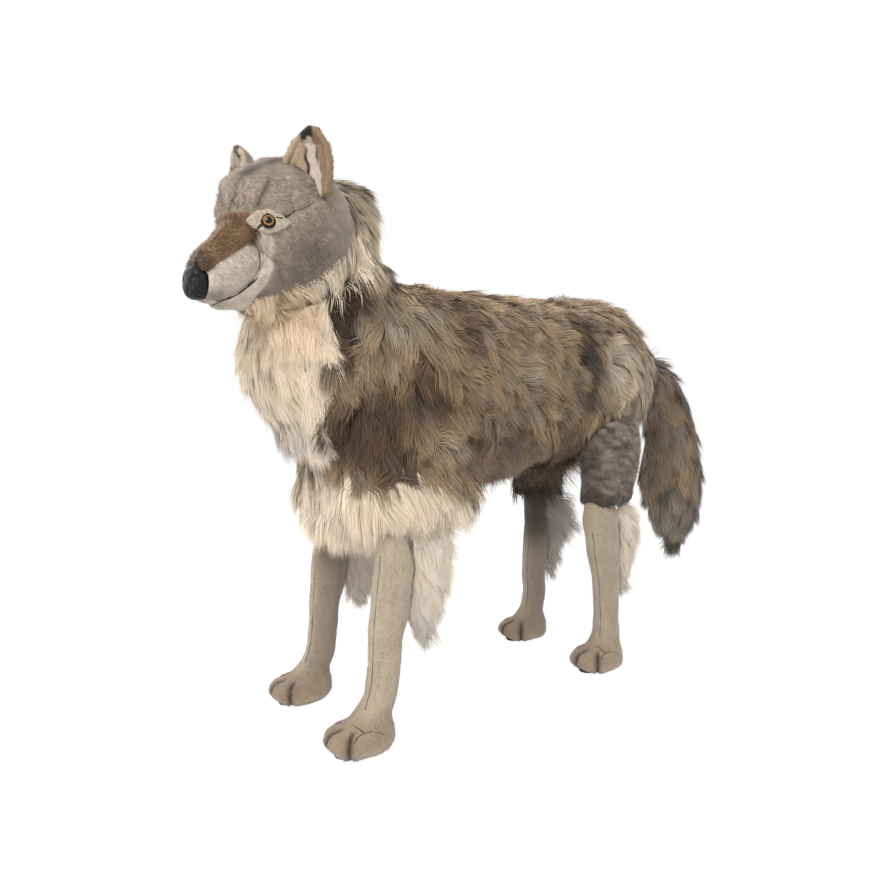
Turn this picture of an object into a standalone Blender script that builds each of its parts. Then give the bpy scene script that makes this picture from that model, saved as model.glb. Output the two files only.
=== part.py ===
"""Standing plush wolf with its head turned to its left.

Each stuffed section of the cover is one solid, whose outside is where the tips of its pile lie.
The wolf faces -Y and its left side is +X. Lengths are in metres.
"""

import math

import bmesh
import bpy
from mathutils import Matrix, Vector
from mathutils.bvhtree import BVHTree

# The middle of the wolf's box, from the spot between its front feet
BOX_MIDDLE_X = 0.0070
BOX_MIDDLE_Y = 0.3695

# Fits
SEAM_GAP = 0.0003
ROD_CLEARANCE = 0.0005
CUT_MARGIN = 0.2

# Feet and legs: y is measured back from the middle of the front feet
LEG_SPREAD = 0.212
HIND_FEET_Y = 0.522
SOLE_THICKNESS = 0.003
SOLE_INSET = 0.014
FOOT_HEIGHT = 0.048
FORE_FOOT_LENGTH = 0.112
FORE_FOOT_WIDTH = 0.074
HIND_FOOT_LENGTH = 0.121
HIND_FOOT_WIDTH = 0.073
FORE_WRIST_WIDTH = 0.047
FORE_FOREARM_WIDTH = 0.066
FORE_LEG_HEIGHT = 0.350
HIND_HOCK_WIDTH = 0.044
HIND_HOCK_DEPTH = 0.052
HIND_SHANK_WIDTH = 0.061
HIND_SHANK_DEPTH = 0.080
TOE_GROOVE_WIDTH = 0.004
TOE_GROOVE_DEPTH = 0.007
TOE_GROOVE_RADIUS = 0.030
TOE_FAN = math.radians(45)

# Torso
WITHERS_HEIGHT = 0.716
BACK_HEIGHT = 0.711
RUMP_HEIGHT = 0.731
BRISKET_HEIGHT = 0.352
TUCK_HEIGHT = 0.426
TORSO_FRONT_Y = -0.062
WITHERS_Y = 0.100
BACK_Y = 0.300
LOIN_Y = 0.470
RUMP_Y = 0.620
TORSO_REAR_Y = 0.775
SHOULDER_WIDTH = 0.286
WAIST_WIDTH = 0.258
HAUNCH_WIDTH = 0.292
TAIL_ROOT_HEIGHT = 0.605

# Neck, bib and brisket fringe
NECK_WIDTH = 0.184
NECK_DEPTH = 0.190
NECK_TOP_HEIGHT = 0.858
BIB_WIDTH = 0.256
BIB_FRONT_Y = -0.137
BIB_TOP_HEIGHT = 0.735
BIB_LEAN = math.radians(3)
BIB_EDGE_Y = -0.034
BIB_EDGE_HEIGHT = 0.600
FRINGE_HEIGHT = 0.304
FRINGE_WIDTH = 0.288
FRINGE_REAR_Y = 0.245

# Thighs, feathers and tail
THIGH_HEIGHT = 0.315
THIGH_WIDTH = 0.098
THIGH_DEPTH = 0.148
THIGH_Y = 0.563
ELBOW_FEATHER_HEIGHT = 0.132
ELBOW_FEATHER_LENGTH = 0.250
ELBOW_FEATHER_DEPTH = 0.108
HOCK_FEATHER_HEIGHT = 0.125
HOCK_FEATHER_LENGTH = 0.205
HOCK_FEATHER_DEPTH = 0.086
FEATHER_WIDTH = 0.042
TAIL_TIP_HEIGHT = 0.155
TAIL_TIP_Y = 0.905
TAIL_WIDTH = 0.142
TAIL_REACH_Y = 0.915

# Head, in its own frame: forward is -Y, from the turning axis
HEAD_TURN = math.radians(20)
HEAD_AXIS_Y = 0.080
HEAD_REAR = 0.095
HEAD_MIDDLE = 0.180
BROW_REACH = 0.284
HEAD_WIDTH = 0.172
BROW_WIDTH = 0.092
HEAD_TOP_HEIGHT = 0.848
CHEEK_HEIGHT = 0.650
BROW_HEIGHT = 0.804
EYE_LINE_HEIGHT = 0.746
MUZZLE_ROOT = 0.215
MUZZLE_REACH = 0.326
MUZZLE_WIDTH = 0.074
MUZZLE_TIP_WIDTH = 0.052
MUZZLE_HEIGHT = 0.112
LIP_HEIGHT = 0.648
JAW_WIDTH = 0.074
JAW_REACH = 0.306
CHIN_HEIGHT = 0.634
BRIDGE_SEAM_TILT = math.radians(38)
NOSE_WIDTH = 0.040
NOSE_HEIGHT = 0.038
NOSE_REACH = 0.343
NOSTRIL_RADIUS = 0.0045

# Ears
EAR_HEIGHT = 0.083
EAR_WIDTH = 0.071
EAR_SPREAD = 0.128
EAR_FORWARD = 0.198
EAR_THICKNESS = 0.006
EAR_LINING_THICKNESS = 0.0025
EAR_WRAP = math.radians(105)
EAR_SPLAY = math.radians(10)
EAR_LEAN = math.radians(4)
EAR_OUTWARD = math.radians(22)
EAR_CUP = 0.62
EAR_ROOT = 0.012
EAR_COLUMNS = 8
EAR_ROWS = 4

# Eyes
EYE_DIAMETER = 0.016
EYE_BULGE = 0.005
EYE_RIM = 0.0015
EYE_SPREAD = 0.100
EYE_TURN = math.radians(52)
EYE_SHANK_DIAMETER = 0.005
EYE_SIDES = 10
EYE_SHANK_LENGTH = 0.016
WASHER_DIAMETER = 0.018
WASHER_THICKNESS = 0.002
LID_LENGTH = 0.056
LID_HEIGHT = 0.030
LID_THICKNESS = 0.0015

# Inner wire frame
SPINE_DIAMETER = 0.010
LEG_WIRE_DIAMETER = 0.008
TAIL_WIRE_DIAMETER = 0.004
SPINE_HEIGHT = 0.610
WIRE_FOOT_HEIGHT = 0.030


def clear_scene():
    for obj in list(bpy.data.objects):
        bpy.data.objects.remove(obj, do_unlink=True)


def new_collection(name):
    collection = bpy.data.collections.new(name)
    bpy.context.scene.collection.children.link(collection)
    return collection


def new_material(name, colour, roughness, metallic=0.0):
    made = bpy.data.materials.new(name)
    made.use_nodes = True
    shader = made.node_tree.nodes["Principled BSDF"]
    shader.inputs["Base Color"].default_value = (*colour, 1.0)
    shader.inputs["Roughness"].default_value = roughness
    shader.inputs["Metallic"].default_value = metallic
    return made


def new_empty(name, location, parent=None, turn=0.0):
    empty = bpy.data.objects.new(name, None)
    parts.objects.link(empty)
    empty.location = location
    empty.rotation_euler = (0.0, 0.0, turn)
    empty.parent = parent
    return empty


def new_object(name, mesh, parent, material=None):
    """A piece of the wolf where a material is given, otherwise a hidden guide."""
    obj = bpy.data.objects.new(name, mesh)
    if material is None:
        guides.objects.link(obj)
        obj.hide_render = True
        obj.display_type = "WIRE"
    else:
        parts.objects.link(obj)
        mesh.materials.append(material)
    obj.parent = parent
    return obj


def signed_power(value, power):
    return math.copysign(abs(value) ** power, value)


def section(centre, half_width, half_depth, tilt=0.0, square=2.2):
    """One ring of a loft: tilt 0 is level, and tilt 90 degrees stands across the Y axis."""
    return (Vector(centre), half_width, half_depth, tilt, square)


def upright(y, bottom, top, half_width, x=0.0, square=2.2):
    """A ring standing across the Y axis, from its lowest to its highest point."""
    return section((x, y, (top + bottom) / 2), half_width, (top - bottom) / 2, math.pi / 2, square)


def ring_points(ring, sides, swell):
    centre, half_width, half_depth, tilt, square = ring
    depth_axis = Vector((0.0, math.cos(tilt), math.sin(tilt)))
    points = []
    for step in range(sides):
        turn = 2 * math.pi * (step + 0.5) / sides
        across = half_width * swell * signed_power(math.cos(turn), 2 / square)
        deep = half_depth * swell * signed_power(math.sin(turn), 2 / square)
        points.append(centre + Vector((across, 0.0, 0.0)) + depth_axis * deep)
    return points


def loft(name, rings, sides, parent, material=None, levels=1):
    """A closed coarse cage through the rings, rounded by subdivision. The cage is drawn wider by what that rounding takes off."""
    swell = 1 / (2 / 3 + math.cos(2 * math.pi / sides) / 3)
    mesh = bpy.data.meshes.new(name)
    made = bmesh.new()
    rows = [[made.verts.new(p) for p in ring_points(ring, sides, swell)] for ring in rings]
    for row, following in zip(rows, rows[1:]):
        for step in range(sides):
            after = (step + 1) % sides
            made.faces.new((row[step], row[after], following[after], following[step]))
    made.faces.new(rows[0])
    made.faces.new(rows[-1])
    bmesh.ops.recalc_face_normals(made, faces=made.faces)
    made.to_mesh(mesh)
    made.free()
    mesh.shade_smooth()
    obj = new_object(name, mesh, parent, material)
    round_off(obj, levels)
    return obj


def round_off(obj, levels=1):
    """Subdivision, and the same fixed triangles on each copy of the form."""
    rounding = obj.modifiers.new("Rounding", "SUBSURF")
    rounding.levels = levels
    rounding.render_levels = levels
    fix_facets(obj)


def fix_facets(obj):
    facets = obj.modifiers.new("Facets", "TRIANGULATE")
    facets.quad_method = "FIXED"
    facets.ngon_method = "BEAUTY"


def thicken(sheet, thickness):
    wall = sheet.modifiers.new("Wall", "SOLIDIFY")
    wall.thickness = thickness
    wall.offset = -1.0
    fix_facets(sheet)


def move_surface(obj, distance):
    offset = obj.modifiers.new("Offset", "DISPLACE")
    offset.mid_level = 0.0
    offset.strength = distance


def inflated(form, distance):
    """A hidden copy of a form's own shape, before its cuts, with its surface moved out."""
    copy = new_object(form.name + "_seat", form.data, form.parent)
    copy.matrix_basis = form.matrix_basis.copy()
    for modifier in form.modifiers:
        if modifier.type == "SUBSURF":
            round_off(copy, modifier.levels)
        elif modifier.type == "SOLIDIFY":
            thicken(copy, modifier.thickness)
    move_surface(copy, distance)
    return copy


def combine(piece, other, operation):
    cut = piece.modifiers.new(operation.title() + " " + other.name, "BOOLEAN")
    cut.operation = operation
    cut.object = other
    cut.solver = "EXACT"


def seat_on(piece, *carriers):
    """Cuts the piece back to lie a seam gap from each carrier."""
    for carrier in carriers:
        combine(piece, inflated(carrier, SEAM_GAP), "DIFFERENCE")


def cut_by(piece, *cutters):
    for cutter in cutters:
        combine(piece, cutter, "DIFFERENCE")


def mesh_of(obj):
    """The evaluated shape of an object as a new mesh, in the object's own frame."""
    bpy.context.view_layer.update()
    graph = bpy.context.evaluated_depsgraph_get()
    return bpy.data.meshes.new_from_object(obj.evaluated_get(graph))


def rod(name, points, steps, radius, parent, material=None):
    """A round bar along a smooth route through the points."""
    curve = bpy.data.curves.new(name, "CURVE")
    curve.dimensions = "3D"
    spline = curve.splines.new("POLY")
    route = smooth_route([Vector(p) for p in points], steps)
    spline.points.add(len(route) - 1)
    for point, place in zip(spline.points, route):
        point.co = (*place, 1.0)
    curve.bevel_depth = radius
    curve.bevel_resolution = 1
    curve.use_fill_caps = True
    drawn = bpy.data.objects.new(name + "_route", curve)
    guides.objects.link(drawn)
    mesh = mesh_of(drawn)
    mesh.name = name
    bpy.data.objects.remove(drawn, do_unlink=True)
    welded = bmesh.new()
    welded.from_mesh(mesh)
    bmesh.ops.remove_doubles(welded, verts=welded.verts, dist=0.00001)
    bmesh.ops.recalc_face_normals(welded, faces=welded.faces)
    welded.to_mesh(mesh)
    welded.free()
    mesh.shade_smooth()
    mesh.set_sharp_from_angle(angle=math.radians(50))
    return new_object(name, mesh, parent, material)


def smooth_route(points, steps):
    """Points on a Catmull-Rom curve through the given ones."""
    ends = [points[0] * 2 - points[1], *points, points[-1] * 2 - points[-2]]
    route = []
    for before, here, there, after in zip(ends, ends[1:], ends[2:], ends[3:]):
        for step in range(steps):
            t = step / steps
            route.append(
                0.5
                * (
                    2 * here
                    + (there - before) * t
                    + (2 * before - 5 * here + 4 * there - after) * t**2
                    + (3 * here - before - 3 * there + after) * t**3
                )
            )
    route.append(points[-1])
    return route


def block(name, centre, size, parent, turn=(0.0, 0.0, 0.0), material=None):
    mesh = bpy.data.meshes.new(name)
    made = bmesh.new()
    bmesh.ops.create_cube(made, size=1.0)
    bmesh.ops.scale(made, vec=size, verts=made.verts)
    made.to_mesh(mesh)
    made.free()
    obj = new_object(name, mesh, parent, material)
    obj.location = centre
    obj.rotation_euler = turn
    return obj


def outward_frame(point, direction):
    """A placement at a point, with its Z along a direction."""
    return Matrix.Translation(point) @ direction.to_track_quat("Z", "Y").to_matrix().to_4x4()


def turned(name, profile, parent, placement, sides, material=None, ring=False):
    """A shape of revolution about its own Z, from (radius, height) pairs that run from top to bottom."""
    mesh = bpy.data.meshes.new(name)
    made = bmesh.new()
    verts = [made.verts.new((radius, 0.0, height)) for radius, height in profile]
    for first, second in zip(verts, verts[1:]):
        made.edges.new((first, second))
    if ring:
        made.edges.new((verts[-1], verts[0]))
    made.to_mesh(mesh)
    made.free()
    obj = new_object(name, mesh, parent, material)
    obj.matrix_basis = placement
    screw = obj.modifiers.new("Turning", "SCREW")
    screw.steps = sides
    screw.render_steps = sides
    screw.use_merge_vertices = True
    screw.merge_threshold = 0.00001
    return obj


def build_torso():
    waist = WAIST_WIDTH / 2
    haunch = HAUNCH_WIDTH / 2
    shoulder = SHOULDER_WIDTH / 2
    tuck = TUCK_HEIGHT
    brisket = BRISKET_HEIGHT
    rings = [
        upright(TORSO_REAR_Y, TAIL_ROOT_HEIGHT - 0.050, TAIL_ROOT_HEIGHT + 0.036, 0.034),
        upright(TORSO_REAR_Y - 0.036, tuck + 0.066, RUMP_HEIGHT - 0.074, 0.064),
        upright(TORSO_REAR_Y - 0.086, tuck + 0.024, RUMP_HEIGHT - 0.030, haunch - 0.044, 0.0, 2.4),
        upright(RUMP_Y - 0.010, tuck, RUMP_HEIGHT, haunch - 0.004, 0.0, 2.6),
        upright(LOIN_Y + 0.040, tuck - 0.004, BACK_HEIGHT + 0.014, waist + 0.012, 0.0, 2.5),
        upright(BACK_Y + 0.060, tuck - 0.036, BACK_HEIGHT, waist + 0.001, 0.0, 2.4),
        upright(WITHERS_Y + 0.080, brisket, WITHERS_HEIGHT - 0.004, shoulder, 0.0, 2.8),
        upright(WITHERS_Y - 0.015, brisket, WITHERS_HEIGHT, shoulder, 0.0, 2.8),
        upright(TORSO_FRONT_Y + 0.060, brisket + 0.010, WITHERS_HEIGHT - 0.030, shoulder - 0.006, 0.0, 2.5),
        upright(TORSO_FRONT_Y, brisket + 0.060, WITHERS_HEIGHT - 0.100, shoulder - 0.034, 0.0, 2.4),
    ]
    return loft("torso", rings, 10, root, long_tan)


def build_neck():
    half_width = NECK_WIDTH / 2
    half_depth = NECK_DEPTH / 2
    top = NECK_TOP_HEIGHT
    rings = [
        section((0.000, 0.050, top - 0.300), half_width + 0.020, half_depth + 0.010),
        section((0.010, -0.002, top - 0.165), half_width + 0.006, half_depth + 0.003),
        section((0.022, -0.008, top - 0.045), half_width - 0.012, half_depth - 0.006),
        section((0.026, -0.012, top), half_width - 0.044, half_depth - 0.034),
    ]
    return loft("neck_mane", rings, 8, root, mane_tan)


def build_bib(*carriers):
    half_width = BIB_WIDTH / 2
    front = BIB_FRONT_Y
    top = BIB_TOP_HEIGHT
    rings = [
        section((0.0, 0.022, FRINGE_HEIGHT + 0.016), half_width - 0.066, 0.040),
        section((0.0, 0.028, FRINGE_HEIGHT + 0.100), half_width - 0.008, -front - 0.050),
        section((0.0, 0.022, top - 0.210), half_width, -front + 0.006),
        section((0.002, 0.010, top - 0.130), half_width - 0.004, -front + 0.012),
        section((0.012, -0.006, top - 0.060), half_width - 0.016, -front - 0.018),
        section((0.018, -0.008, top), half_width - 0.026, -front - 0.036),
    ]
    bib = loft("chest_bib", rings, 8, root, long_cream)
    behind = block(
        "bib_edge",
        (0.0, BIB_EDGE_Y + CUT_MARGIN, BIB_EDGE_HEIGHT),
        (4 * CUT_MARGIN, 2 * CUT_MARGIN, 6 * CUT_MARGIN),
        root,
        (-BIB_LEAN, 0.0, 0.0),
    )
    cut_by(bib, behind)
    seat_on(bib, *carriers)
    return bib


def foot_rings(side, middle_y, length, width):
    x = side * LEG_SPREAD / 2
    half_length = length / 2
    half_width = width / 2
    return [
        section((x, middle_y + 0.002, 0.0), half_width - 0.008, half_length - 0.012, 0.0, 2.4),
        section((x, middle_y, FOOT_HEIGHT * 0.24), half_width - 0.001, half_length - 0.002, 0.0, 2.4),
        section((x, middle_y, FOOT_HEIGHT * 0.72), half_width, half_length, 0.0, 2.4),
        section((x, middle_y + 0.012, FOOT_HEIGHT), half_width - 0.009, half_length - 0.019, 0.0, 2.4),
    ]


def build_foreleg(side, name):
    x = side * LEG_SPREAD / 2
    wrist = FORE_WRIST_WIDTH / 2
    forearm = FORE_FOREARM_WIDTH / 2
    rings = foot_rings(side, -0.004, FORE_FOOT_LENGTH, FORE_FOOT_WIDTH) + [
        section((x, 0.031, FOOT_HEIGHT + 0.012), wrist, wrist),
        section((x, 0.046, FORE_LEG_HEIGHT - 0.170), forearm - 0.006, forearm - 0.005),
        section((x, 0.060, FORE_LEG_HEIGHT), forearm, forearm + 0.003),
    ]
    return loft(name, rings, 6, root, beige_plush)


def build_hind_leg(side, name):
    x = side * LEG_SPREAD / 2
    y = HIND_FEET_Y
    hock_w = HIND_HOCK_WIDTH / 2
    hock_d = HIND_HOCK_DEPTH / 2
    shank_w = HIND_SHANK_WIDTH / 2
    shank_d = HIND_SHANK_DEPTH / 2
    rings = foot_rings(side, y, HIND_FOOT_LENGTH, HIND_FOOT_WIDTH) + [
        section((x, y + 0.025, FOOT_HEIGHT + 0.014), hock_w, hock_d + 0.001),
        section((x, y + 0.031, FOOT_HEIGHT + 0.090), hock_w + 0.001, hock_d + 0.001),
        section((x, y + 0.020, THIGH_HEIGHT + 0.010), shank_w, shank_d),
    ]
    return loft(name, rings, 6, root, beige_plush)


def build_sole(side, name, middle_y, length, width):
    """A flat sole that the foot stands on."""
    mesh = bpy.data.meshes.new(name)
    made = bmesh.new()
    bmesh.ops.create_cone(
        made, cap_ends=True, segments=16, radius1=0.5, radius2=0.5, depth=1.0
    )
    for vert in made.verts:
        vert.co.x *= width - 2 * SOLE_INSET
        vert.co.y *= length - 2 * SOLE_INSET
        vert.co.z = (vert.co.z + 0.5) * SOLE_THICKNESS
    bmesh.ops.recalc_face_normals(made, faces=made.faces)
    made.to_mesh(mesh)
    made.free()
    sole = new_object(name, mesh, root, sole_fabric)
    sole.location = (side * LEG_SPREAD / 2, middle_y, 0.0)
    return sole


def toe_cutter(side, name, middle_y, length, width):
    """Three thin discs that press the lines between the toes into the front of a foot."""
    mesh = bpy.data.meshes.new(name)
    made = bmesh.new()
    for spread in (-1, 0, 1):
        disc = bmesh.ops.create_cone(
            made,
            cap_ends=True,
            segments=8,
            radius1=TOE_GROOVE_RADIUS,
            radius2=TOE_GROOVE_RADIUS,
            depth=TOE_GROOVE_WIDTH,
        )
        turn = Matrix.Rotation(math.pi / 2, 4, "Y")
        fan = Matrix.Rotation(spread * TOE_FAN, 4, "Z")
        half = math.hypot(length * math.cos(spread * TOE_FAN), width * math.sin(spread * TOE_FAN)) / 2
        reach = half + TOE_GROOVE_RADIUS - TOE_GROOVE_DEPTH
        place = fan @ Matrix.Translation((0.0, -reach, 0.0)) @ turn
        bmesh.ops.transform(made, matrix=place, verts=disc["verts"])
    bmesh.ops.recalc_face_normals(made, faces=made.faces)
    made.to_mesh(mesh)
    made.free()
    cutter = new_object(name, mesh, root)
    cutter.location = (side * LEG_SPREAD / 2, middle_y, FOOT_HEIGHT * 0.55)
    return cutter


def finish_foot(leg, side, name, middle_y, length, width):
    """Toes, a level cut over the sole, and the sole itself."""
    floor = block(
        name + "_floor",
        (side * LEG_SPREAD / 2, middle_y, SOLE_THICKNESS + SEAM_GAP - CUT_MARGIN / 2),
        (CUT_MARGIN, CUT_MARGIN, CUT_MARGIN),
        root,
    )
    cut_by(leg, floor, toe_cutter(side, name + "_toes", middle_y, length, width))
    return build_sole(side, name, middle_y, length, width)


def build_thigh(side, name):
    x = side * (LEG_SPREAD / 2 - 0.008)
    half_width = THIGH_WIDTH / 2
    half_depth = THIGH_DEPTH / 2
    rings = [
        section((x, THIGH_Y - 0.014, THIGH_HEIGHT), half_width - 0.014, half_depth - 0.020),
        section((x, THIGH_Y - 0.006, THIGH_HEIGHT + 0.040), half_width - 0.002, half_depth - 0.004),
        section((x, THIGH_Y + 0.004, THIGH_HEIGHT + 0.125), half_width, half_depth),
        section((x * 0.9, THIGH_Y + 0.010, THIGH_HEIGHT + 0.210), half_width - 0.010, half_depth - 0.010),
    ]
    return loft(name, rings, 6, root, marbled_plush)


def build_fringe(torso):
    """The cream section under the chest, which the forelegs are sewn into."""
    half_width = FRINGE_WIDTH / 2
    low = FRINGE_HEIGHT
    rings = [
        upright(FRINGE_REAR_Y, low + 0.048, low + 0.120, half_width - 0.040),
        upright(FRINGE_REAR_Y - 0.055, low + 0.012, low + 0.146, half_width - 0.006, 0.0, 2.5),
        upright(FRINGE_REAR_Y - 0.150, low, low + 0.156, half_width, 0.0, 2.6),
        upright(FRINGE_REAR_Y - 0.240, low + 0.002, low + 0.156, half_width - 0.008, 0.0, 2.5),
        upright(FRINGE_REAR_Y - 0.294, low + 0.022, low + 0.136, half_width - 0.046),
    ]
    fringe = loft("brisket_fringe", rings, 8, root, long_cream)
    seat_on(fringe, torso)
    return fringe


def build_elbow_feather(side, name, *carriers):
    x = side * LEG_SPREAD / 2
    low = ELBOW_FEATHER_HEIGHT
    long = ELBOW_FEATHER_LENGTH
    half_width = FEATHER_WIDTH / 2
    half_depth = ELBOW_FEATHER_DEPTH / 2
    rings = [
        section((x, 0.109, low), half_width - 0.015, 0.006),
        section((x, 0.104, low + long * 0.14), half_width - 0.008, half_depth - 0.020),
        section((x, 0.110, low + long * 0.50), half_width - 0.001, half_depth - 0.002),
        section((x, 0.120, low + long * 0.90), half_width, half_depth),
    ]
    feather = loft(name, rings, 6, root, long_cream)
    seat_on(feather, *carriers)
    return feather


def build_hock_feather(side, name, *carriers):
    x = side * LEG_SPREAD / 2
    low = HOCK_FEATHER_HEIGHT
    long = HOCK_FEATHER_LENGTH
    y = HIND_FEET_Y + 0.070
    half_width = FEATHER_WIDTH / 2
    half_depth = HOCK_FEATHER_DEPTH / 2
    rings = [
        section((x, y + 0.002, low), half_width - 0.016, 0.005),
        section((x, y, low + long * 0.18), half_width - 0.009, half_depth - 0.007),
        section((x, y + 0.004, low + long * 0.70), half_width - 0.004, half_depth),
        section((x, y + 0.006, low + long), half_width - 0.006, half_depth - 0.010),
    ]
    feather = loft(name, rings, 6, root, long_cream)
    seat_on(feather, *carriers)
    return feather


def build_tail(torso, wire_channel):
    half = TAIL_WIDTH / 2
    low = TAIL_TIP_HEIGHT
    reach = TAIL_REACH_Y
    root_y = TORSO_REAR_Y - 0.020
    root_z = TAIL_ROOT_HEIGHT + 0.008
    rings = [
        section((0.0, TAIL_TIP_Y, low), 0.008, 0.008, 0.0),
        section((0.0, reach - 0.004, low + 0.045), half - 0.030, half - 0.030, 0.0),
        section((0.0, reach, low + 0.110), half - 0.001, half - 0.001, math.radians(3)),
        section((0.0, reach - 0.004, low + 0.225), half, half, math.radians(10)),
        section((0.0, reach - 0.036, root_z - 0.105), half - 0.010, half - 0.010, math.radians(26)),
        section((0.0, reach - 0.084, root_z - 0.026), half - 0.022, half - 0.024, math.radians(48)),
        section((0.0, root_y, root_z), half - 0.033, half - 0.036, math.radians(64)),
    ]
    tail = loft("tail", rings, 8, root, long_tan)
    seat_on(tail, torso)
    cut_by(tail, wire_channel)
    return tail


def build_head():
    top = HEAD_TOP_HEIGHT
    low = CHEEK_HEIGHT
    half_width = HEAD_WIDTH / 2
    brow = BROW_WIDTH / 2
    rings = [
        upright(-HEAD_REAR, low + 0.050, top - 0.030, half_width - 0.034),
        upright(-HEAD_REAR - 0.034, low + 0.014, top - 0.006, half_width - 0.008),
        upright(-HEAD_MIDDLE + 0.010, low, top, half_width),
        upright(-HEAD_MIDDLE - 0.026, low, top, half_width - 0.006),
        upright(-BROW_REACH + 0.046, low + 0.030, top - 0.014, half_width - 0.025),
        upright(-BROW_REACH + 0.018, low + 0.072, BROW_HEIGHT + 0.010, brow),
        upright(-BROW_REACH, low + 0.106, BROW_HEIGHT - 0.004, brow - 0.016),
    ]
    return loft("head", rings, 10, head_frame, grey_plush)


def muzzle_rings():
    tip = MUZZLE_TIP_WIDTH / 2
    half_width = MUZZLE_WIDTH / 2
    lip = LIP_HEIGHT
    high = MUZZLE_HEIGHT
    length = MUZZLE_REACH - MUZZLE_ROOT
    return [
        upright(-MUZZLE_ROOT, lip + 0.006, lip + high, half_width - 0.006, 0.0, 2.5),
        upright(-MUZZLE_ROOT - length * 0.40, lip + 0.003, lip + high + 0.004, half_width, 0.0, 2.5),
        upright(-MUZZLE_ROOT - length * 0.64, lip - 0.001, lip + high - 0.014, half_width - 0.002, 0.0, 2.5),
        upright(-MUZZLE_ROOT - length * 0.84, lip - 0.005, lip + high - 0.039, tip + 0.003, 0.0, 2.5),
        upright(-MUZZLE_REACH - 0.006, lip - 0.002, lip + high - 0.062, tip - 0.004, 0.0, 2.4),
    ]


def build_bridge(head, nose):
    """The brown panel along the top of the muzzle, above its slanting seam."""
    bridge = loft("muzzle_bridge", muzzle_rings(), 6, head_frame, brown_plush)
    cut_by(bridge, seam_block("bridge_below", -1))
    seat_on(bridge, head, nose)
    return bridge


def seam_block(name, side):
    """A block over (1) or under (-1) the slanting seam of the muzzle."""
    seam = Vector((0.0, -MUZZLE_REACH, LIP_HEIGHT + 0.030))
    normal = Vector((0.0, -math.sin(BRIDGE_SEAM_TILT), math.cos(BRIDGE_SEAM_TILT)))
    offset = CUT_MARGIN - SEAM_GAP / 2
    return block(
        name,
        seam + normal * side * offset,
        (2 * CUT_MARGIN, 2 * CUT_MARGIN, 2 * CUT_MARGIN),
        head_frame,
        (BRIDGE_SEAM_TILT, 0.0, 0.0),
    )


def build_muzzle_side(side, name, head, nose):
    """One cream cheek of the muzzle, whose rear end is rounded."""
    lip = LIP_HEIGHT
    half_width = MUZZLE_WIDTH / 2
    tip = MUZZLE_TIP_WIDTH / 2
    length = MUZZLE_REACH - MUZZLE_ROOT
    rings = [
        upright(-MUZZLE_ROOT - length * 0.28, lip + 0.028, lip + 0.068, half_width - 0.016),
        upright(-MUZZLE_ROOT - length * 0.38, lip + 0.008, lip + 0.086, half_width + 0.001),
        upright(-MUZZLE_ROOT - length * 0.66, lip - 0.004, lip + 0.082, half_width),
        upright(-MUZZLE_REACH + 0.008, lip - 0.008, lip + 0.050, tip + 0.003),
        upright(-MUZZLE_REACH - 0.004, lip, lip + 0.034, tip - 0.006),
    ]
    cheek = loft(name, rings, 6, head_frame, cream_plush)
    centre = block(
        name + "_middle",
        (-side * (CUT_MARGIN - SEAM_GAP / 2), -MUZZLE_REACH, lip),
        (2 * CUT_MARGIN, 2 * CUT_MARGIN, 2 * CUT_MARGIN),
        head_frame,
    )
    cut_by(cheek, centre, seam_block(name + "_above", 1))
    seat_on(cheek, head, nose)
    return cheek


def build_jaw(head):
    """The lower jaw with the cream band that climbs behind the mouth."""
    half_width = JAW_WIDTH / 2
    low = CHIN_HEIGHT
    rings = [
        upright(-MUZZLE_ROOT + 0.010, low + 0.024, low + 0.096, half_width - 0.014),
        upright(-MUZZLE_ROOT - 0.008, low + 0.010, low + 0.112, half_width + 0.008),
        upright(-MUZZLE_ROOT - 0.036, low + 0.003, low + 0.100, half_width + 0.004),
        upright(-JAW_REACH + 0.018, low - 0.001, low + 0.040, half_width - 0.011),
        upright(-JAW_REACH - 0.004, low + 0.004, low + 0.022, half_width - 0.022),
    ]
    return loft("lower_jaw", rings, 6, head_frame, cream_plush)


def build_nose():
    half_width = NOSE_WIDTH / 2
    low = LIP_HEIGHT - 0.003
    high = NOSE_HEIGHT
    rings = [
        upright(-NOSE_REACH + 0.032, low + 0.002, low + high - 0.002, half_width - 0.003),
        upright(-NOSE_REACH + 0.010, low, low + high, half_width - 0.001),
        upright(-NOSE_REACH + 0.002, low + 0.005, low + high - 0.004, half_width - 0.006),
    ]
    nose = loft("nose", rings, 8, head_frame, leatherette)
    for side in (-1, 1):
        cut_by(nose, nostril(side))
    return nose


def nostril(side):
    mesh = bpy.data.meshes.new("nostril")
    made = bmesh.new()
    bmesh.ops.create_uvsphere(made, u_segments=6, v_segments=4, radius=NOSTRIL_RADIUS)
    made.to_mesh(mesh)
    made.free()
    hollow = new_object("nostril", mesh, head_frame)
    hollow.location = (side * (NOSE_WIDTH / 2 - 0.008), -NOSE_REACH + 0.003, LIP_HEIGHT + NOSE_HEIGHT * 0.5)
    return hollow


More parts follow.
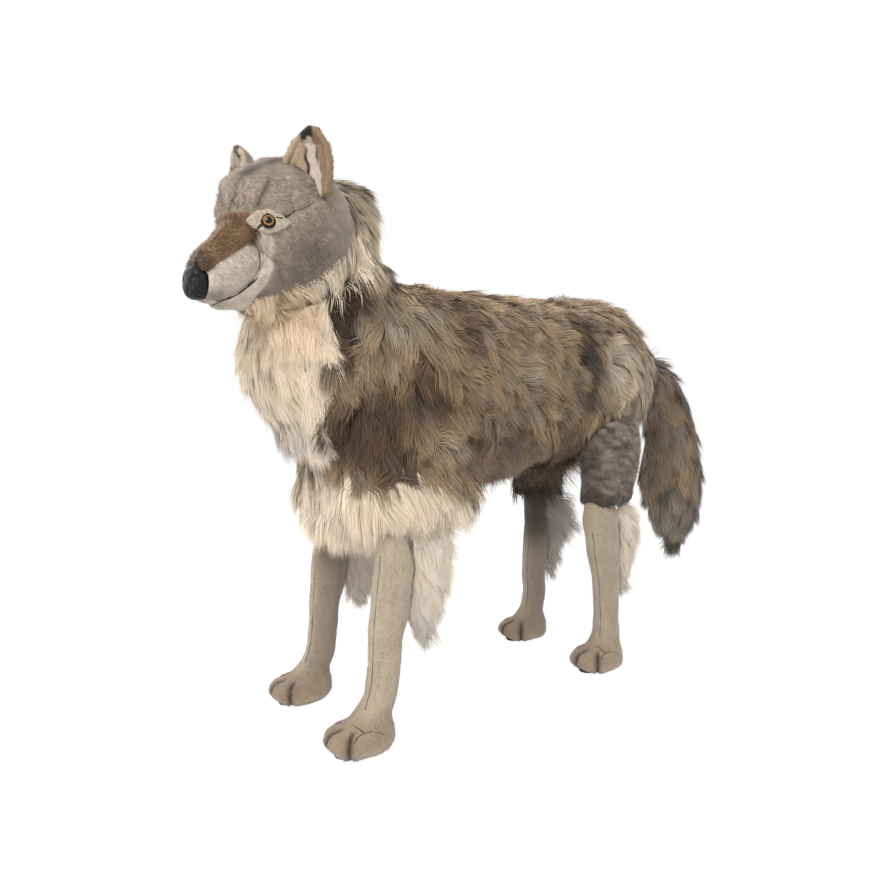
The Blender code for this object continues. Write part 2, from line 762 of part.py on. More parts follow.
def ear_sheet(name, side, columns, rows, inset, thickness, material):
    """A cupped leaf that opens forward, as a sheet thickened inwards. A lining takes some of the shell's columns and rows."""
    mesh = bpy.data.meshes.new(name)
    made = bmesh.new()
    grid = []
    for level in rows:
        rise = level / EAR_ROWS
        radius = (EAR_WIDTH / 2) * math.sqrt(1 - (rise * 0.985) ** 2.4)
        wrap = EAR_WRAP * (1 - 0.25 * rise)
        line = []
        for step in columns:
            turn = wrap * (2 * step / EAR_COLUMNS - 1)
            across = (radius - inset) * math.sin(turn)
            back = (radius * EAR_CUP - inset) * math.cos(turn) - 0.010 * rise
            line.append(made.verts.new((across, back, EAR_HEIGHT * rise - EAR_ROOT)))
        grid.append(line)
    for line, above in zip(grid, grid[1:]):
        for step in range(len(columns) - 1):
            made.faces.new((line[step], line[step + 1], above[step + 1], above[step]))
    bmesh.ops.recalc_face_normals(made, faces=made.faces)
    if sum(face.normal.y for face in made.faces) < 0:
        bmesh.ops.reverse_faces(made, faces=made.faces)
    made.to_mesh(mesh)
    made.free()
    mesh.shade_smooth()
    ear = new_object(name, mesh, head_frame, material)
    ear.location = (side * EAR_SPREAD / 2, -EAR_FORWARD - 0.006, HEAD_TOP_HEIGHT - 0.044)
    ear.rotation_euler = (-EAR_LEAN, side * EAR_SPLAY, side * EAR_OUTWARD)
    thicken(ear, thickness)
    return ear


def build_ears(head):
    all_columns = range(EAR_COLUMNS + 1)
    all_rows = range(EAR_ROWS + 1)
    for side, word in ((1, "left"), (-1, "right")):
        shell = ear_sheet("ear_" + word, side, all_columns, all_rows, 0.0, EAR_THICKNESS, brown_plush)
        seat_on(shell, head)
        inset = EAR_THICKNESS + 5 * SEAM_GAP
        lining = ear_sheet(
            "ear_lining_" + word,
            side,
            all_columns[1:-1],
            all_rows[:-1],
            inset,
            EAR_LINING_THICKNESS,
            cream_plush,
        )
        seat_on(lining, head, shell)


def surface_point(form, start, direction):
    """Where a line from inside the form leaves it, in the form's own frame."""
    shape = mesh_of(form)
    tree = bmesh.new()
    tree.from_mesh(shape)
    bpy.data.meshes.remove(shape)
    hit, _, _, _ = BVHTree.FromBMesh(tree).ray_cast(start, direction)
    tree.free()
    return hit


def build_eye(side, word, head_shape, head):
    """A domed eye on a shank, with the washer that locks it behind the cover."""
    direction = Vector((side * math.sin(EYE_TURN), -math.cos(EYE_TURN), 0.10)).normalized()
    start = Vector((side * EYE_SPREAD / 4, -BROW_REACH + 0.046, EYE_LINE_HEIGHT - 0.004))
    seat = surface_point(head_shape, start, direction)
    placement = outward_frame(seat, direction)
    radius = EYE_DIAMETER / 2
    shank = EYE_SHANK_DIAMETER / 2
    dome = [(radius * math.sin(t * math.pi / 6), EYE_BULGE * math.cos(t * math.pi / 6)) for t in range(4)]
    profile = [
        *dome,
        (radius, -EYE_RIM),
        (shank, -EYE_RIM),
        (shank, -EYE_SHANK_LENGTH),
        (0.0, -EYE_SHANK_LENGTH),
    ]
    turned("eye_" + word, profile, head_frame, placement, EYE_SIDES, eye_glass)
    washer_top = -EYE_SHANK_LENGTH * 0.5
    washer_bottom = washer_top - WASHER_THICKNESS
    washer = [
        (shank + SEAM_GAP, washer_top),
        (WASHER_DIAMETER / 2, washer_top),
        (WASHER_DIAMETER / 2, washer_bottom),
        (shank + SEAM_GAP, washer_bottom),
    ]
    turned("eye_washer_" + word, washer, head_frame, placement, EYE_SIDES, washer_plastic, ring=True)
    bore = shank + SEAM_GAP
    room = WASHER_DIAMETER / 2 + SEAM_GAP
    socket_profile = [
        (0.0, CUT_MARGIN / 5),
        (radius + SEAM_GAP, CUT_MARGIN / 5),
        (radius + SEAM_GAP, -EYE_RIM - SEAM_GAP),
        (bore, -EYE_RIM - SEAM_GAP),
        (bore, washer_top + SEAM_GAP),
        (room, washer_top + SEAM_GAP),
        (room, washer_bottom - SEAM_GAP),
        (bore, washer_bottom - SEAM_GAP),
        (bore, -EYE_SHANK_LENGTH - SEAM_GAP),
        (0.0, -EYE_SHANK_LENGTH - SEAM_GAP),
    ]
    socket = turned("eye_socket_" + word, socket_profile, head_frame, placement, EYE_SIDES)
    cut_by(head, socket)
    return placement, socket


def build_lid(side, word, head_shape, placement, socket, carriers):
    """A thin leaf of cream cover round the eye, laid on the head."""
    outer = LID_THICKNESS + SEAM_GAP
    lid = new_object("eyelid_" + word, head_shape.data.copy(), head_frame, cream_plush)
    lid.data.materials.clear()
    lid.data.materials.append(cream_plush)
    round_off(lid)
    move_surface(lid, outer)
    mesh = bpy.data.meshes.new("leaf_" + word)
    made = bmesh.new()
    bmesh.ops.create_cone(made, cap_ends=True, segments=12, radius1=0.5, radius2=0.5, depth=0.05)
    for vert in made.verts:
        pinch = 1 - 0.55 * abs(vert.co.x * 2) ** 2
        vert.co.x *= LID_LENGTH
        vert.co.y *= LID_HEIGHT * pinch
    made.to_mesh(mesh)
    made.free()
    leaf = new_object("leaf_" + word, mesh, head_frame)
    out = placement.to_3x3() @ Vector((0.0, 0.0, 1.0))
    along = Vector((0.0, 0.0, 1.0)).cross(out).normalized()
    turn = Matrix((along, out.cross(along), out)).transposed()
    leaf.matrix_basis = Matrix.Translation(placement.translation) @ turn.to_4x4()
    combine(lid, leaf, "INTERSECT")
    seat_on(lid, head_shape, *carriers)
    cut_by(lid, socket)
    return lid


def leg_wire(y_low, y_high, lean):
    """A wire down each leg, joined by a bar under the spine wire."""
    x = LEG_SPREAD / 2
    bar = SPINE_HEIGHT - (SPINE_DIAMETER + LEG_WIRE_DIAMETER) / 2 - SEAM_GAP
    left = [
        (x, y_low, WIRE_FOOT_HEIGHT),
        (x, y_low + lean * 0.50, 0.130),
        (x, y_low + lean * 0.80, 0.250),
        (x, y_low + lean, 0.360),
        (x * 0.86, y_high, 0.500),
        (x * 0.55, y_high, bar - 0.018),
        (x * 0.20, y_high, bar),
    ]
    right = [(-px, y, z) for px, y, z in reversed(left)]
    return left + right


def build_frame():
    """The bent wires that hold the wolf up, and a cutter for each one's channel."""
    turn = Matrix.Translation((0.0, HEAD_AXIS_Y, 0.0)) @ Matrix.Rotation(HEAD_TURN, 4, "Z")
    head_end = turn @ Vector((0.0, -HEAD_MIDDLE, EYE_LINE_HEIGHT))
    head_start = turn @ Vector((0.0, -HEAD_REAR - 0.020, EYE_LINE_HEIGHT - 0.020))
    spine = [
        head_end,
        head_start,
        (0.012, 0.012, SPINE_HEIGHT + 0.060),
        (0.0, WITHERS_Y - 0.045, SPINE_HEIGHT + 0.012),
        (0.0, WITHERS_Y - 0.010, SPINE_HEIGHT),
        (0.0, WITHERS_Y + 0.040, SPINE_HEIGHT),
        (0.0, BACK_Y, SPINE_HEIGHT),
        (0.0, LOIN_Y, SPINE_HEIGHT),
        (0.0, RUMP_Y, SPINE_HEIGHT),
        (0.0, RUMP_Y + 0.060, SPINE_HEIGHT),
    ]
    tail_start = RUMP_Y + 0.060 + SEAM_GAP
    tail = [
        (0.0, tail_start, SPINE_HEIGHT),
        (0.0, TORSO_REAR_Y - 0.020, TAIL_ROOT_HEIGHT + 0.004),
        (0.0, TAIL_REACH_Y - 0.050, TAIL_ROOT_HEIGHT - 0.070),
        (0.0, TAIL_REACH_Y - 0.004, TAIL_ROOT_HEIGHT - 0.220),
        (0.0, TAIL_REACH_Y, TAIL_TIP_HEIGHT + 0.120),
    ]
    routes = {
        "spine_wire": (spine, SPINE_DIAMETER),
        "foreleg_wire": (leg_wire(0.022, WITHERS_Y + 0.015, 0.042), LEG_WIRE_DIAMETER),
        "hind_leg_wire": (leg_wire(HIND_FEET_Y + 0.014, THIGH_Y, 0.022), LEG_WIRE_DIAMETER),
        "tail_wire": (tail, TAIL_WIRE_DIAMETER),
    }
    wires = {}
    channels = {}
    for name, (points, diameter) in routes.items():
        steps = 1 if "leg" in name else 2
        wires[name] = rod(name, points, steps, diameter / 2, root, steel)
        channels[name] = rod(name + "_channel", points, steps, diameter / 2 + ROD_CLEARANCE, root)
    for name in ("foreleg_wire", "hind_leg_wire", "tail_wire"):
        seat_on(wires[name], wires["spine_wire"])
    return channels


clear_scene()
parts = new_collection("plush_wolf")
guides = new_collection("guides")

long_tan = new_material("long_tan_pile", (0.350, 0.262, 0.162), 0.85)
mane_tan = new_material("mane_pile", (0.400, 0.310, 0.200), 0.85)
long_cream = new_material("long_cream_pile", (0.880, 0.770, 0.600), 0.85)
grey_plush = new_material("grey_short_plush", (0.330, 0.270, 0.215), 0.80)
brown_plush = new_material("brown_short_plush", (0.280, 0.170, 0.090), 0.80)
cream_plush = new_material("cream_short_plush", (0.640, 0.530, 0.410), 0.80)
beige_plush = new_material("beige_short_plush", (0.480, 0.380, 0.270), 0.80)
marbled_plush = new_material("marbled_short_plush", (0.170, 0.130, 0.110), 0.80)
leatherette = new_material("black_leatherette", (0.018, 0.018, 0.022), 0.42)
eye_glass = new_material("amber_eye", (0.420, 0.170, 0.030), 0.05)
sole_fabric = new_material("sole_fabric", (0.300, 0.230, 0.160), 0.85)
washer_plastic = new_material("washer_plastic", (0.750, 0.750, 0.730), 0.50)
steel = new_material("steel_wire", (0.550, 0.550, 0.560), 0.35, 1.0)

root = new_empty("wolf_root", (-BOX_MIDDLE_X, -BOX_MIDDLE_Y, 0.0))
head_frame = new_empty("head_frame", (0.0, HEAD_AXIS_Y, 0.0), root, HEAD_TURN)

channels = build_frame()
torso = build_torso()
head = build_head()
head_shape = inflated(head, 0.0)
head_shape.name = "head_shape"
jaw = build_jaw(head)
nose = build_nose()
neck = build_neck()
seat_on(neck, torso, head, jaw)
fringe = build_fringe(torso)
build_bib(torso, neck, head, jaw, fringe)

cheeks = []
bridge = build_bridge(head, nose)
for side, word in ((1, "left"), (-1, "right")):
    cheeks.append(build_muzzle_side(side, "muzzle_" + word, head, nose))
seat_on(jaw, head, *cheeks)
for side, word in ((1, "left"), (-1, "right")):
    placement, socket = build_eye(side, word, head_shape, head)
    build_lid(side, word, head_shape, placement, socket, (bridge, jaw, cheeks[0 if side > 0 else 1]))
    cut_by(bridge, socket)
    cut_by(jaw, socket)
build_ears(head)

for side, word in ((1, "left"), (-1, "right")):
    leg = build_foreleg(side, "foreleg_" + word)
    finish_foot(leg, side, "fore_sole_" + word, -0.004, FORE_FOOT_LENGTH, FORE_FOOT_WIDTH)
    seat_on(leg, fringe)
    cut_by(leg, channels["foreleg_wire"])
    build_elbow_feather(side, "elbow_feather_" + word, fringe, leg)
cut_by(fringe, channels["foreleg_wire"])

for side, word in ((1, "left"), (-1, "right")):
    thigh = build_thigh(side, "thigh_" + word)
    leg = build_hind_leg(side, "hind_leg_" + word)
    finish_foot(leg, side, "hind_sole_" + word, HIND_FEET_Y, HIND_FOOT_LENGTH, HIND_FOOT_WIDTH)
    seat_on(leg, thigh, torso)
    cut_by(leg, channels["hind_leg_wire"])
    build_hock_feather(side, "hock_feather_" + word, torso, thigh, leg)
    seat_on(thigh, torso)
    cut_by(thigh, channels["hind_leg_wire"])
tail = build_tail(torso, channels["tail_wire"])
cut_by(head, channels["spine_wire"])
cut_by(neck, channels["spine_wire"])
cut_by(torso, *channels.values())
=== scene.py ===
"""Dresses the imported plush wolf: pile, short plush, face, feet, eyes, floor and light.

Lengths are in metres, and in millimetres in the tables that say so. Points of the head are given in the
head's own frame: b to the wolf's left, a forwards, c up.
"""

import math

import bmesh
import bpy
import numpy as np
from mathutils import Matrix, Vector
from mathutils.bvhtree import BVHTree
from mathutils.kdtree import KDTree


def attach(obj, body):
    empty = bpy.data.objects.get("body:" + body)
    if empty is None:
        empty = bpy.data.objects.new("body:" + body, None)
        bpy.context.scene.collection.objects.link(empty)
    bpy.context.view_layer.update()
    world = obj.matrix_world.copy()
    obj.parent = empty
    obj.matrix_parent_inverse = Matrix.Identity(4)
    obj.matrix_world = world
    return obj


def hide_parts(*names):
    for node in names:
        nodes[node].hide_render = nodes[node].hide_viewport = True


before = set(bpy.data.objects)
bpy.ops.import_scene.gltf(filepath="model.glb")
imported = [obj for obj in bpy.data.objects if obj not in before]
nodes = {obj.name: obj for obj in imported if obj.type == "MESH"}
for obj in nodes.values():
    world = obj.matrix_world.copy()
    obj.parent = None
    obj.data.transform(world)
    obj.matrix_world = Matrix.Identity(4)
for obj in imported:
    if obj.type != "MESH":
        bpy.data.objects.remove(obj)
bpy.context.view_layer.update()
scene = bpy.context.scene

MM = 1000
MIDDLE_X = -0.0070
SIDES = (("left", 1), ("right", -1))
HEAD_PIVOT = np.array((-0.0070, -0.2895, 0.0))
HEAD_TURN = math.radians(20)
EYE_TURN = math.radians(52)
PILE_REACH_X = (-0.166, 0.160)
STRAND = (0.0, 0.5, 1.0)
FLOOR_CLEARANCE = 0.0010


def rgb(red, green, blue):
    """A colour given as on a screen, 0 to 255, as linear light."""
    c = np.array((red, green, blue), float) / 255.0
    return np.where(c <= 0.04045, c / 12.92, ((c + 0.055) / 1.055) ** 2.4)


def unit(v):
    return v / np.maximum(np.linalg.norm(v, axis=-1, keepdims=True), 1e-9)


def ease(x, low, high):
    """0 below low, 1 above high, and smooth between them."""
    t = np.clip((x - low) / (high - low), 0.0, 1.0)
    return t * t * (3 - 2 * t)


def fall(x, low, high):
    """1 below low, 0 above high."""
    return 1 - ease(x, low, high)


def bell(x, middle, width):
    """1 at the middle, and close to 0 two widths away from it."""
    return np.exp(-(((x - middle) / width) ** 2))


def mix(base, other, share):
    """Colours moved from the base towards the other by a share for each point."""
    share = share[:, None] if share.ndim == 1 else share
    return base * (1 - share) + other * share


def waves(P, size, seed, count=9):
    """Smooth noise between about -1 and 1, as a sum of plane waves of about the given size."""
    random = np.random.default_rng(seed)
    total = np.zeros(len(P))
    for _ in range(count):
        k = random.normal(size=3)
        k = k / np.linalg.norm(k) * (2 * math.pi / size) * random.uniform(0.55, 1.5)
        total += np.sin(P @ k + random.uniform(0, 2 * math.pi))
    return np.clip(total / math.sqrt(count) * 0.9, -1.0, 1.0)


def to_head(P):
    q = P - HEAD_PIVOT
    cos, sin = math.cos(HEAD_TURN), math.sin(HEAD_TURN)
    return np.stack((q[:, 0] * cos + q[:, 1] * sin, q[:, 0] * sin - q[:, 1] * cos, P[:, 2]), axis=1)


def head_way(b, a, c):
    """A direction in the head's frame as one in the room."""
    cos, sin = math.cos(HEAD_TURN), math.sin(HEAD_TURN)
    return np.stack((b * cos + a * sin, b * sin - a * cos, c), axis=1)


def from_head(points):
    return head_way(*np.asarray(points, float).reshape(-1, 3).T) + HEAD_PIVOT


def head_line(points, side=1):
    """A line of the head, from its table in millimetres, on the left side or mirrored."""
    return from_head(np.array(points) * (side, 1, 1) / MM)


def line_distance(P, line):
    """Distance from each point to an open polyline, and how far along it the nearest place lies, 0 to 1."""
    best = np.full(len(P), 1e9)
    along = np.zeros(len(P))
    lengths = np.linalg.norm(np.diff(line, axis=0), axis=1)
    start = np.concatenate(([0.0], np.cumsum(lengths)))
    for i, length in enumerate(lengths):
        d = line[i + 1] - line[i]
        t = np.clip(((P - line[i]) @ d) / max(length * length, 1e-12), 0.0, 1.0)
        gap = np.linalg.norm(P - line[i] - t[:, None] * d, axis=1)
        nearer = gap < best
        best = np.where(nearer, gap, best)
        along = np.where(nearer, (start[i] + t * length) / start[-1], along)
    return best, along


def spline(points, steps):
    """A smooth curve through the points."""
    p = np.asarray(points, float)
    p = np.concatenate((2 * p[:1] - p[1:2], p, 2 * p[-1:] - p[-2:-1]))
    out = []
    for i in range(1, len(p) - 2):
        for s in range(steps):
            t = s / steps
            out.append(0.5 * (2 * p[i] + (p[i + 1] - p[i - 1]) * t
                              + (2 * p[i - 1] - 5 * p[i] + 4 * p[i + 1] - p[i + 2]) * t * t
                              + (3 * p[i] - p[i - 1] - 3 * p[i + 1] + p[i + 2]) * t ** 3))
    out.append(p[-2])
    return np.array(out)


# Materials


def material(name, roughness, specular=0.3, sheen=0.0, coat=0.0):
    made = bpy.data.materials.new(name)
    made.use_nodes = True
    shader = made.node_tree.nodes["Principled BSDF"]
    for socket, value in (("Roughness", roughness), ("Specular IOR Level", specular), ("Sheen Weight", sheen),
                          ("Sheen Roughness", 0.5), ("Coat Weight", coat)):
        shader.inputs[socket].default_value = value
    return made, made.node_tree, shader


def add(tree, kind, inputs=(), **settings):
    """A node with its settings, and its inputs set to a value or linked to a socket."""
    node = tree.nodes.new(kind)
    for key, value in settings.items():
        setattr(node, key, value)
    for key, value in dict(inputs).items():
        if isinstance(value, bpy.types.NodeSocket):
            tree.links.new(value, node.inputs[key])
        else:
            node.inputs[key].default_value = value
    return node


def ramp(tree, share, stops):
    node = add(tree, "ShaderNodeValToRGB", {"Fac": share})
    while len(node.color_ramp.elements) < len(stops):
        node.color_ramp.elements.new(0.5)
    for element, (place, colour) in zip(node.color_ramp.elements, stops):
        element.position = place
        element.color = (*colour, 1.0)
    return node.outputs["Color"]


def multiply(tree, first, second):
    node = add(tree, "ShaderNodeMix", data_type="RGBA", blend_type="MULTIPLY")
    node.inputs["Factor"].default_value = 1.0
    tree.links.new(first, node.inputs["A"])
    tree.links.new(second, node.inputs["B"])
    return node.outputs["Result"]


def noise(tree, scale, detail=3.0, stretch=None):
    place = add(tree, "ShaderNodeTexCoord").outputs["Object"]
    if stretch:
        place = add(tree, "ShaderNodeMapping", {"Scale": stretch, "Vector": place}).outputs["Vector"]
    return add(tree, "ShaderNodeTexNoise", {"Scale": scale, "Detail": detail, "Vector": place}).outputs["Fac"]


def bump(tree, shader, height, strength, distance):
    node = add(tree, "ShaderNodeBump", {"Strength": strength, "Distance": distance, "Height": height})
    tree.links.new(node.outputs["Normal"], shader.inputs["Normal"])


def grained(name, roughness, specular, sheen, scale, detail, stops):
    """A material whose colour runs between the stops with a fine noise."""
    made, tree, shader = material(name, roughness, specular, sheen)
    tree.links.new(ramp(tree, noise(tree, scale, detail), stops), shader.inputs["Base Color"])
    return made, tree, shader


def painted(tree, name, socket):
    return add(tree, "ShaderNodeAttribute", attribute_name=name).outputs[socket]


def pile_material(name, root_shade, tip_shade, roughness=0.75, sheen=0.15, level=1.0):
    """Long hair: each strand has its own tint, and is darker at its root."""
    made, tree, shader = material(name, roughness, 0.25, sheen)
    stops = np.array((root_shade, (0.92, 0.92, 0.92), tip_shade)) * level
    shade = ramp(tree, painted(tree, "along", "Fac"), tuple(zip((0.0, 0.55, 1.0), stops)))
    streak = ramp(tree, noise(tree, 900.0, 2.0), ((0.3, (0.86, 0.86, 0.86)), (0.7, (1.08, 1.08, 1.08))))
    mixed = multiply(tree, painted(tree, "tint", "Color"), shade)
    tree.links.new(multiply(tree, mixed, streak), shader.inputs["Base Color"])
    return made


def plush_material(name, dark=0.84, light=1.08, scale=420.0, sheen=0.35, stretch=None, level=0.86):
    """Short cut pile: a tint painted on the cloth, broken by the nap."""
    made, tree, shader = material(name, 0.9, 0.15, sheen)
    nap = noise(tree, scale, 5.0, stretch)
    grain = ramp(tree, nap, ((0.32, (dark * level,) * 3), (0.68, (light * level,) * 3)))
    tree.links.new(multiply(tree, painted(tree, "tint", "Color"), grain), shader.inputs["Base Color"])
    bump(tree, shader, nap, 0.35, 0.0012)
    return made


# Meshes


def new_piece(name, mesh, made_of, node_names=()):
    obj = bpy.data.objects.new(name, mesh)
    scene.collection.objects.link(obj)
    mesh.materials.append(made_of)
    if node_names:
        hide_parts(*node_names)
    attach(obj, "root")
    return obj


def arrays(mesh):
    P = np.empty(len(mesh.vertices) * 3, np.float32)
    mesh.vertices.foreach_get("co", P)
    N = np.empty(len(mesh.vertices) * 3, np.float32)
    mesh.vertex_normals.foreach_get("vector", N)
    mesh.calc_loop_triangles()
    T = np.empty(len(mesh.loop_triangles) * 3, np.int32)
    mesh.loop_triangles.foreach_get("vertices", T)
    return P.reshape(-1, 3).astype(float), N.reshape(-1, 3).astype(float), T.reshape(-1, 3)


def set_points(mesh, P):
    mesh.vertices.foreach_set("co", P.astype(np.float32).ravel())
    mesh.update()


def set_tint(mesh, colours):
    layer = mesh.color_attributes.new("tint", "FLOAT_COLOR", "POINT")
    rgba = np.ones((len(colours), 4), np.float32)
    rgba[:, :3] = np.clip(colours, 0.0, 1.0)
    layer.data.foreach_set("color", rgba.ravel())


def evaluated(obj):
    graph = bpy.context.evaluated_depsgraph_get()
    return bpy.data.meshes.new_from_object(obj.evaluated_get(graph))


def cloth_form(name, node_names, voxel, inwards, rounds):
    """The solids of some nodes as one rounded skin, moved inwards by the depth of the pile."""
    made = bmesh.new()
    for node in node_names:
        made.from_mesh(nodes[node].data)
    bmesh.ops.remove_doubles(made, verts=made.verts, dist=2e-5)
    mesh = bpy.data.meshes.new(name)
    made.to_mesh(mesh)
    made.free()
    obj = bpy.data.objects.new(name, mesh)
    scene.collection.objects.link(obj)
    remesh = obj.modifiers.new("Remesh", "REMESH")
    remesh.mode = "VOXEL"
    remesh.voxel_size = voxel
    soften = obj.modifiers.new("Soften", "SMOOTH")
    soften.factor = 0.5
    soften.iterations = rounds
    bpy.context.view_layer.update()
    done = evaluated(obj)
    bpy.data.objects.remove(obj)
    bpy.data.meshes.remove(mesh)
    done.name = name
    done.materials.clear()
    P, N, _ = arrays(done)
    set_points(done, P - N * inwards)
    done.shade_smooth()
    return done


def tree_of(*meshes):
    points, triangles, start = [], [], 0
    for mesh in meshes:
        P, _, T = arrays(mesh)
        points.append(P)
        triangles.append(T + start)
        start += len(P)
    return BVHTree.FromPolygons(np.concatenate(points).tolist(), np.concatenate(triangles).tolist())


def build_mesh(name, P, faces, normals=None, uv=None, tint=None, along=None):
    mesh = bpy.data.meshes.new(name)
    mesh.vertices.add(len(P))
    mesh.vertices.foreach_set("co", P.astype(np.float32).ravel())
    mesh.loops.add(faces.size)
    mesh.polygons.add(len(faces))
    width = faces.shape[1]
    mesh.polygons.foreach_set("loop_start", np.arange(0, faces.size, width, dtype=np.int32))
    mesh.polygons.foreach_set("vertices", faces.astype(np.int32).ravel())
    mesh.update(calc_edges=True)
    mesh.shade_smooth()
    if uv is not None:
        layer = mesh.uv_layers.new(name="OFBake")
        layer.uv.foreach_set("vector", uv[faces.ravel()].astype(np.float32).ravel())
    if tint is not None:
        set_tint(mesh, tint)
    if along is not None:
        values = mesh.attributes.new("along", "FLOAT", "POINT")
        values.data.foreach_set("value", along.astype(np.float32))
    if normals is not None:
        mesh.normals_split_custom_set_from_vertices(normals.astype(np.float32))
    return mesh


# Pile


def scatter(mesh, count, seed, keep=None):
    """Seeded points spread evenly over a skin, with their normals."""
    random = np.random.default_rng(seed)
    P, N, T = arrays(mesh)
    corners = P[T]
    area = np.linalg.norm(np.cross(corners[:, 1] - corners[:, 0], corners[:, 2] - corners[:, 0]), axis=1)
    if keep is not None:
        area = area * keep(corners.mean(axis=1))
    pick = random.choice(len(T), count, p=area / area.sum())
    u, v = random.random(count), random.random(count)
    flip = u + v > 1
    u, v = np.where(flip, 1 - u, u), np.where(flip, 1 - v, v)
    w = np.stack((1 - u - v, u, v), axis=1)[:, :, None]
    return (P[T[pick]] * w).sum(axis=1), unit((N[T[pick]] * w).sum(axis=1))


def bake_squares(count):
    """The corner of each blade's own square on the map that a bake fills, and the squares in a row."""
    cells = int(math.ceil(math.sqrt(count)))
    index = np.arange(count)
    return np.stack((index % cells, index // cells), axis=1) / cells, cells


def hair(name, roots, normals, flow, length, width, tint, lift, clump=0.0, lock=0.014, yaw=0.3,
         drop=0.0, curl=0.0, own=0.12, spread=0.25, bright=0.12, fade=0.3, seed=1):
    """Tapered ribbons that lean along the flow and gather into locks."""
    random = np.random.default_rng(seed)
    count = len(roots)
    T = unit(flow - normals * (flow * normals).sum(axis=1, keepdims=True))
    B = np.cross(normals, T)
    _, leaders, cell = np.unique(np.floor(roots / lock + random.random(3)), axis=0, return_index=True,
                                 return_inverse=True)
    tree = KDTree(len(leaders))
    for i, k in enumerate(leaders):
        tree.insert(roots[k], i)
    tree.balance()
    near = np.array([tree.find(p)[1] for p in roots])
    groups = len(leaders)
    g_yaw = random.normal(0, yaw, groups)[near] + waves(roots, 0.09, seed + 5) * yaw * 0.8
    g_long = random.uniform(1 - spread, 1 + spread, groups)[near]
    g_lift = random.uniform(0.6, 1.4, groups)[near]
    g_tone = random.normal(0, bright, groups)[near]
    g_phase = random.uniform(0, 2 * math.pi, groups)[near]
    turn = g_yaw + random.normal(0, own, count)
    T1 = T * np.cos(turn)[:, None] + B * np.sin(turn)[:, None]
    B1 = np.cross(normals, T1)
    reach = length * g_long * random.uniform(0.8, 1.1, count)
    rise = lift * g_lift * random.uniform(0.8, 1.2, count)

    def place(R, tangent, side, normal, reach, rise, phase, s):
        wave = np.sin(s * 5.2 + phase) - np.sin(phase)
        return (R + tangent * (reach * s)[:, None] + normal * (reach * rise * (s - 0.45 * s * s))[:, None]
                + side * (reach * curl * wave)[:, None]
                - np.array((0, 0, 1.0)) * (reach * drop * s * s)[:, None])

    lead = leaders[near]
    steps = np.array(STRAND)
    rows = []
    for s in steps:
        s_all = np.full(count, s)
        mine = place(roots, T1, B1, normals, reach, rise, g_phase, s_all)
        theirs = place(roots[lead], T1[lead], B1[lead], normals[lead], reach, rise, g_phase, s_all)
        pull = clump * s ** 1.4
        rows.append(mine * (1 - pull) + theirs * pull)
    rows = np.array(rows)
    ahead = np.array([rows[min(j + 1, len(steps) - 1)] - rows[max(j - 1, 0)] for j in range(len(steps))])
    roll = random.normal(0, 0.45, count)[:, None]
    thick = (width * random.uniform(0.7, 1.3, count))[:, None]
    points, shading, uv, along = [], [], [], []
    corner, cells = bake_squares(count)
    for j, s in enumerate(steps):
        d = unit(ahead[j])
        side = unit(np.cross(d, normals))
        out = np.cross(side, d)
        side = side * np.cos(roll) + out * np.sin(roll)
        facing = np.cross(side, d)
        half = thick * (1 - s ** 1.6) / 2 * (0.7 + 0.3 * min(1.0, s * 4))
        soft = unit(normals * 0.75 + facing * 0.45 + d * 0.15)
        last = j == len(steps) - 1
        for sign in ((0,) if last else (1, -1)):
            points.append(rows[j] + side * half * sign)
            shading.append(soft)
            uv.append(corner + np.array((0.5 + 0.38 * sign, 0.08 + 0.84 * s)) / cells)
            along.append(np.full(count, s))
    per = len(points)
    P = np.array(points).transpose(1, 0, 2).reshape(-1, 3)
    S = np.array(shading).transpose(1, 0, 2).reshape(-1, 3)
    U = np.array(uv).transpose(1, 0, 2).reshape(-1, 2)
    A = np.array(along).T.ravel()
    pattern = []
    for j in range(len(steps) - 2):
        a, b, c, e = 2 * j, 2 * j + 1, 2 * j + 2, 2 * j + 3
        pattern += [(a, e, b), (a, c, e)]
    pattern.append((per - 3, per - 1, per - 2))
    F = (np.arange(count) * per)[:, None, None] + np.array(pattern)[None]
    P[:, 0] = np.clip(P[:, 0], *PILE_REACH_X)
    tone = 1 + g_tone + random.normal(0, bright * 0.7, count)
    faded = (np.clip(random.normal(0, 1, groups)[near], 0, 1.5) * fade)[:, None]
    grey = tint.mean(axis=1, keepdims=True) * np.array((1.06, 1.02, 0.96)) * 1.12
    tint = mix(tint, grey, faded)
    colours = np.repeat(tint * np.clip(tone, 0.4, 1.6)[:, None], per, axis=0)
    return build_mesh(name, P, F.reshape(-1, 3), S, U, colours, A)


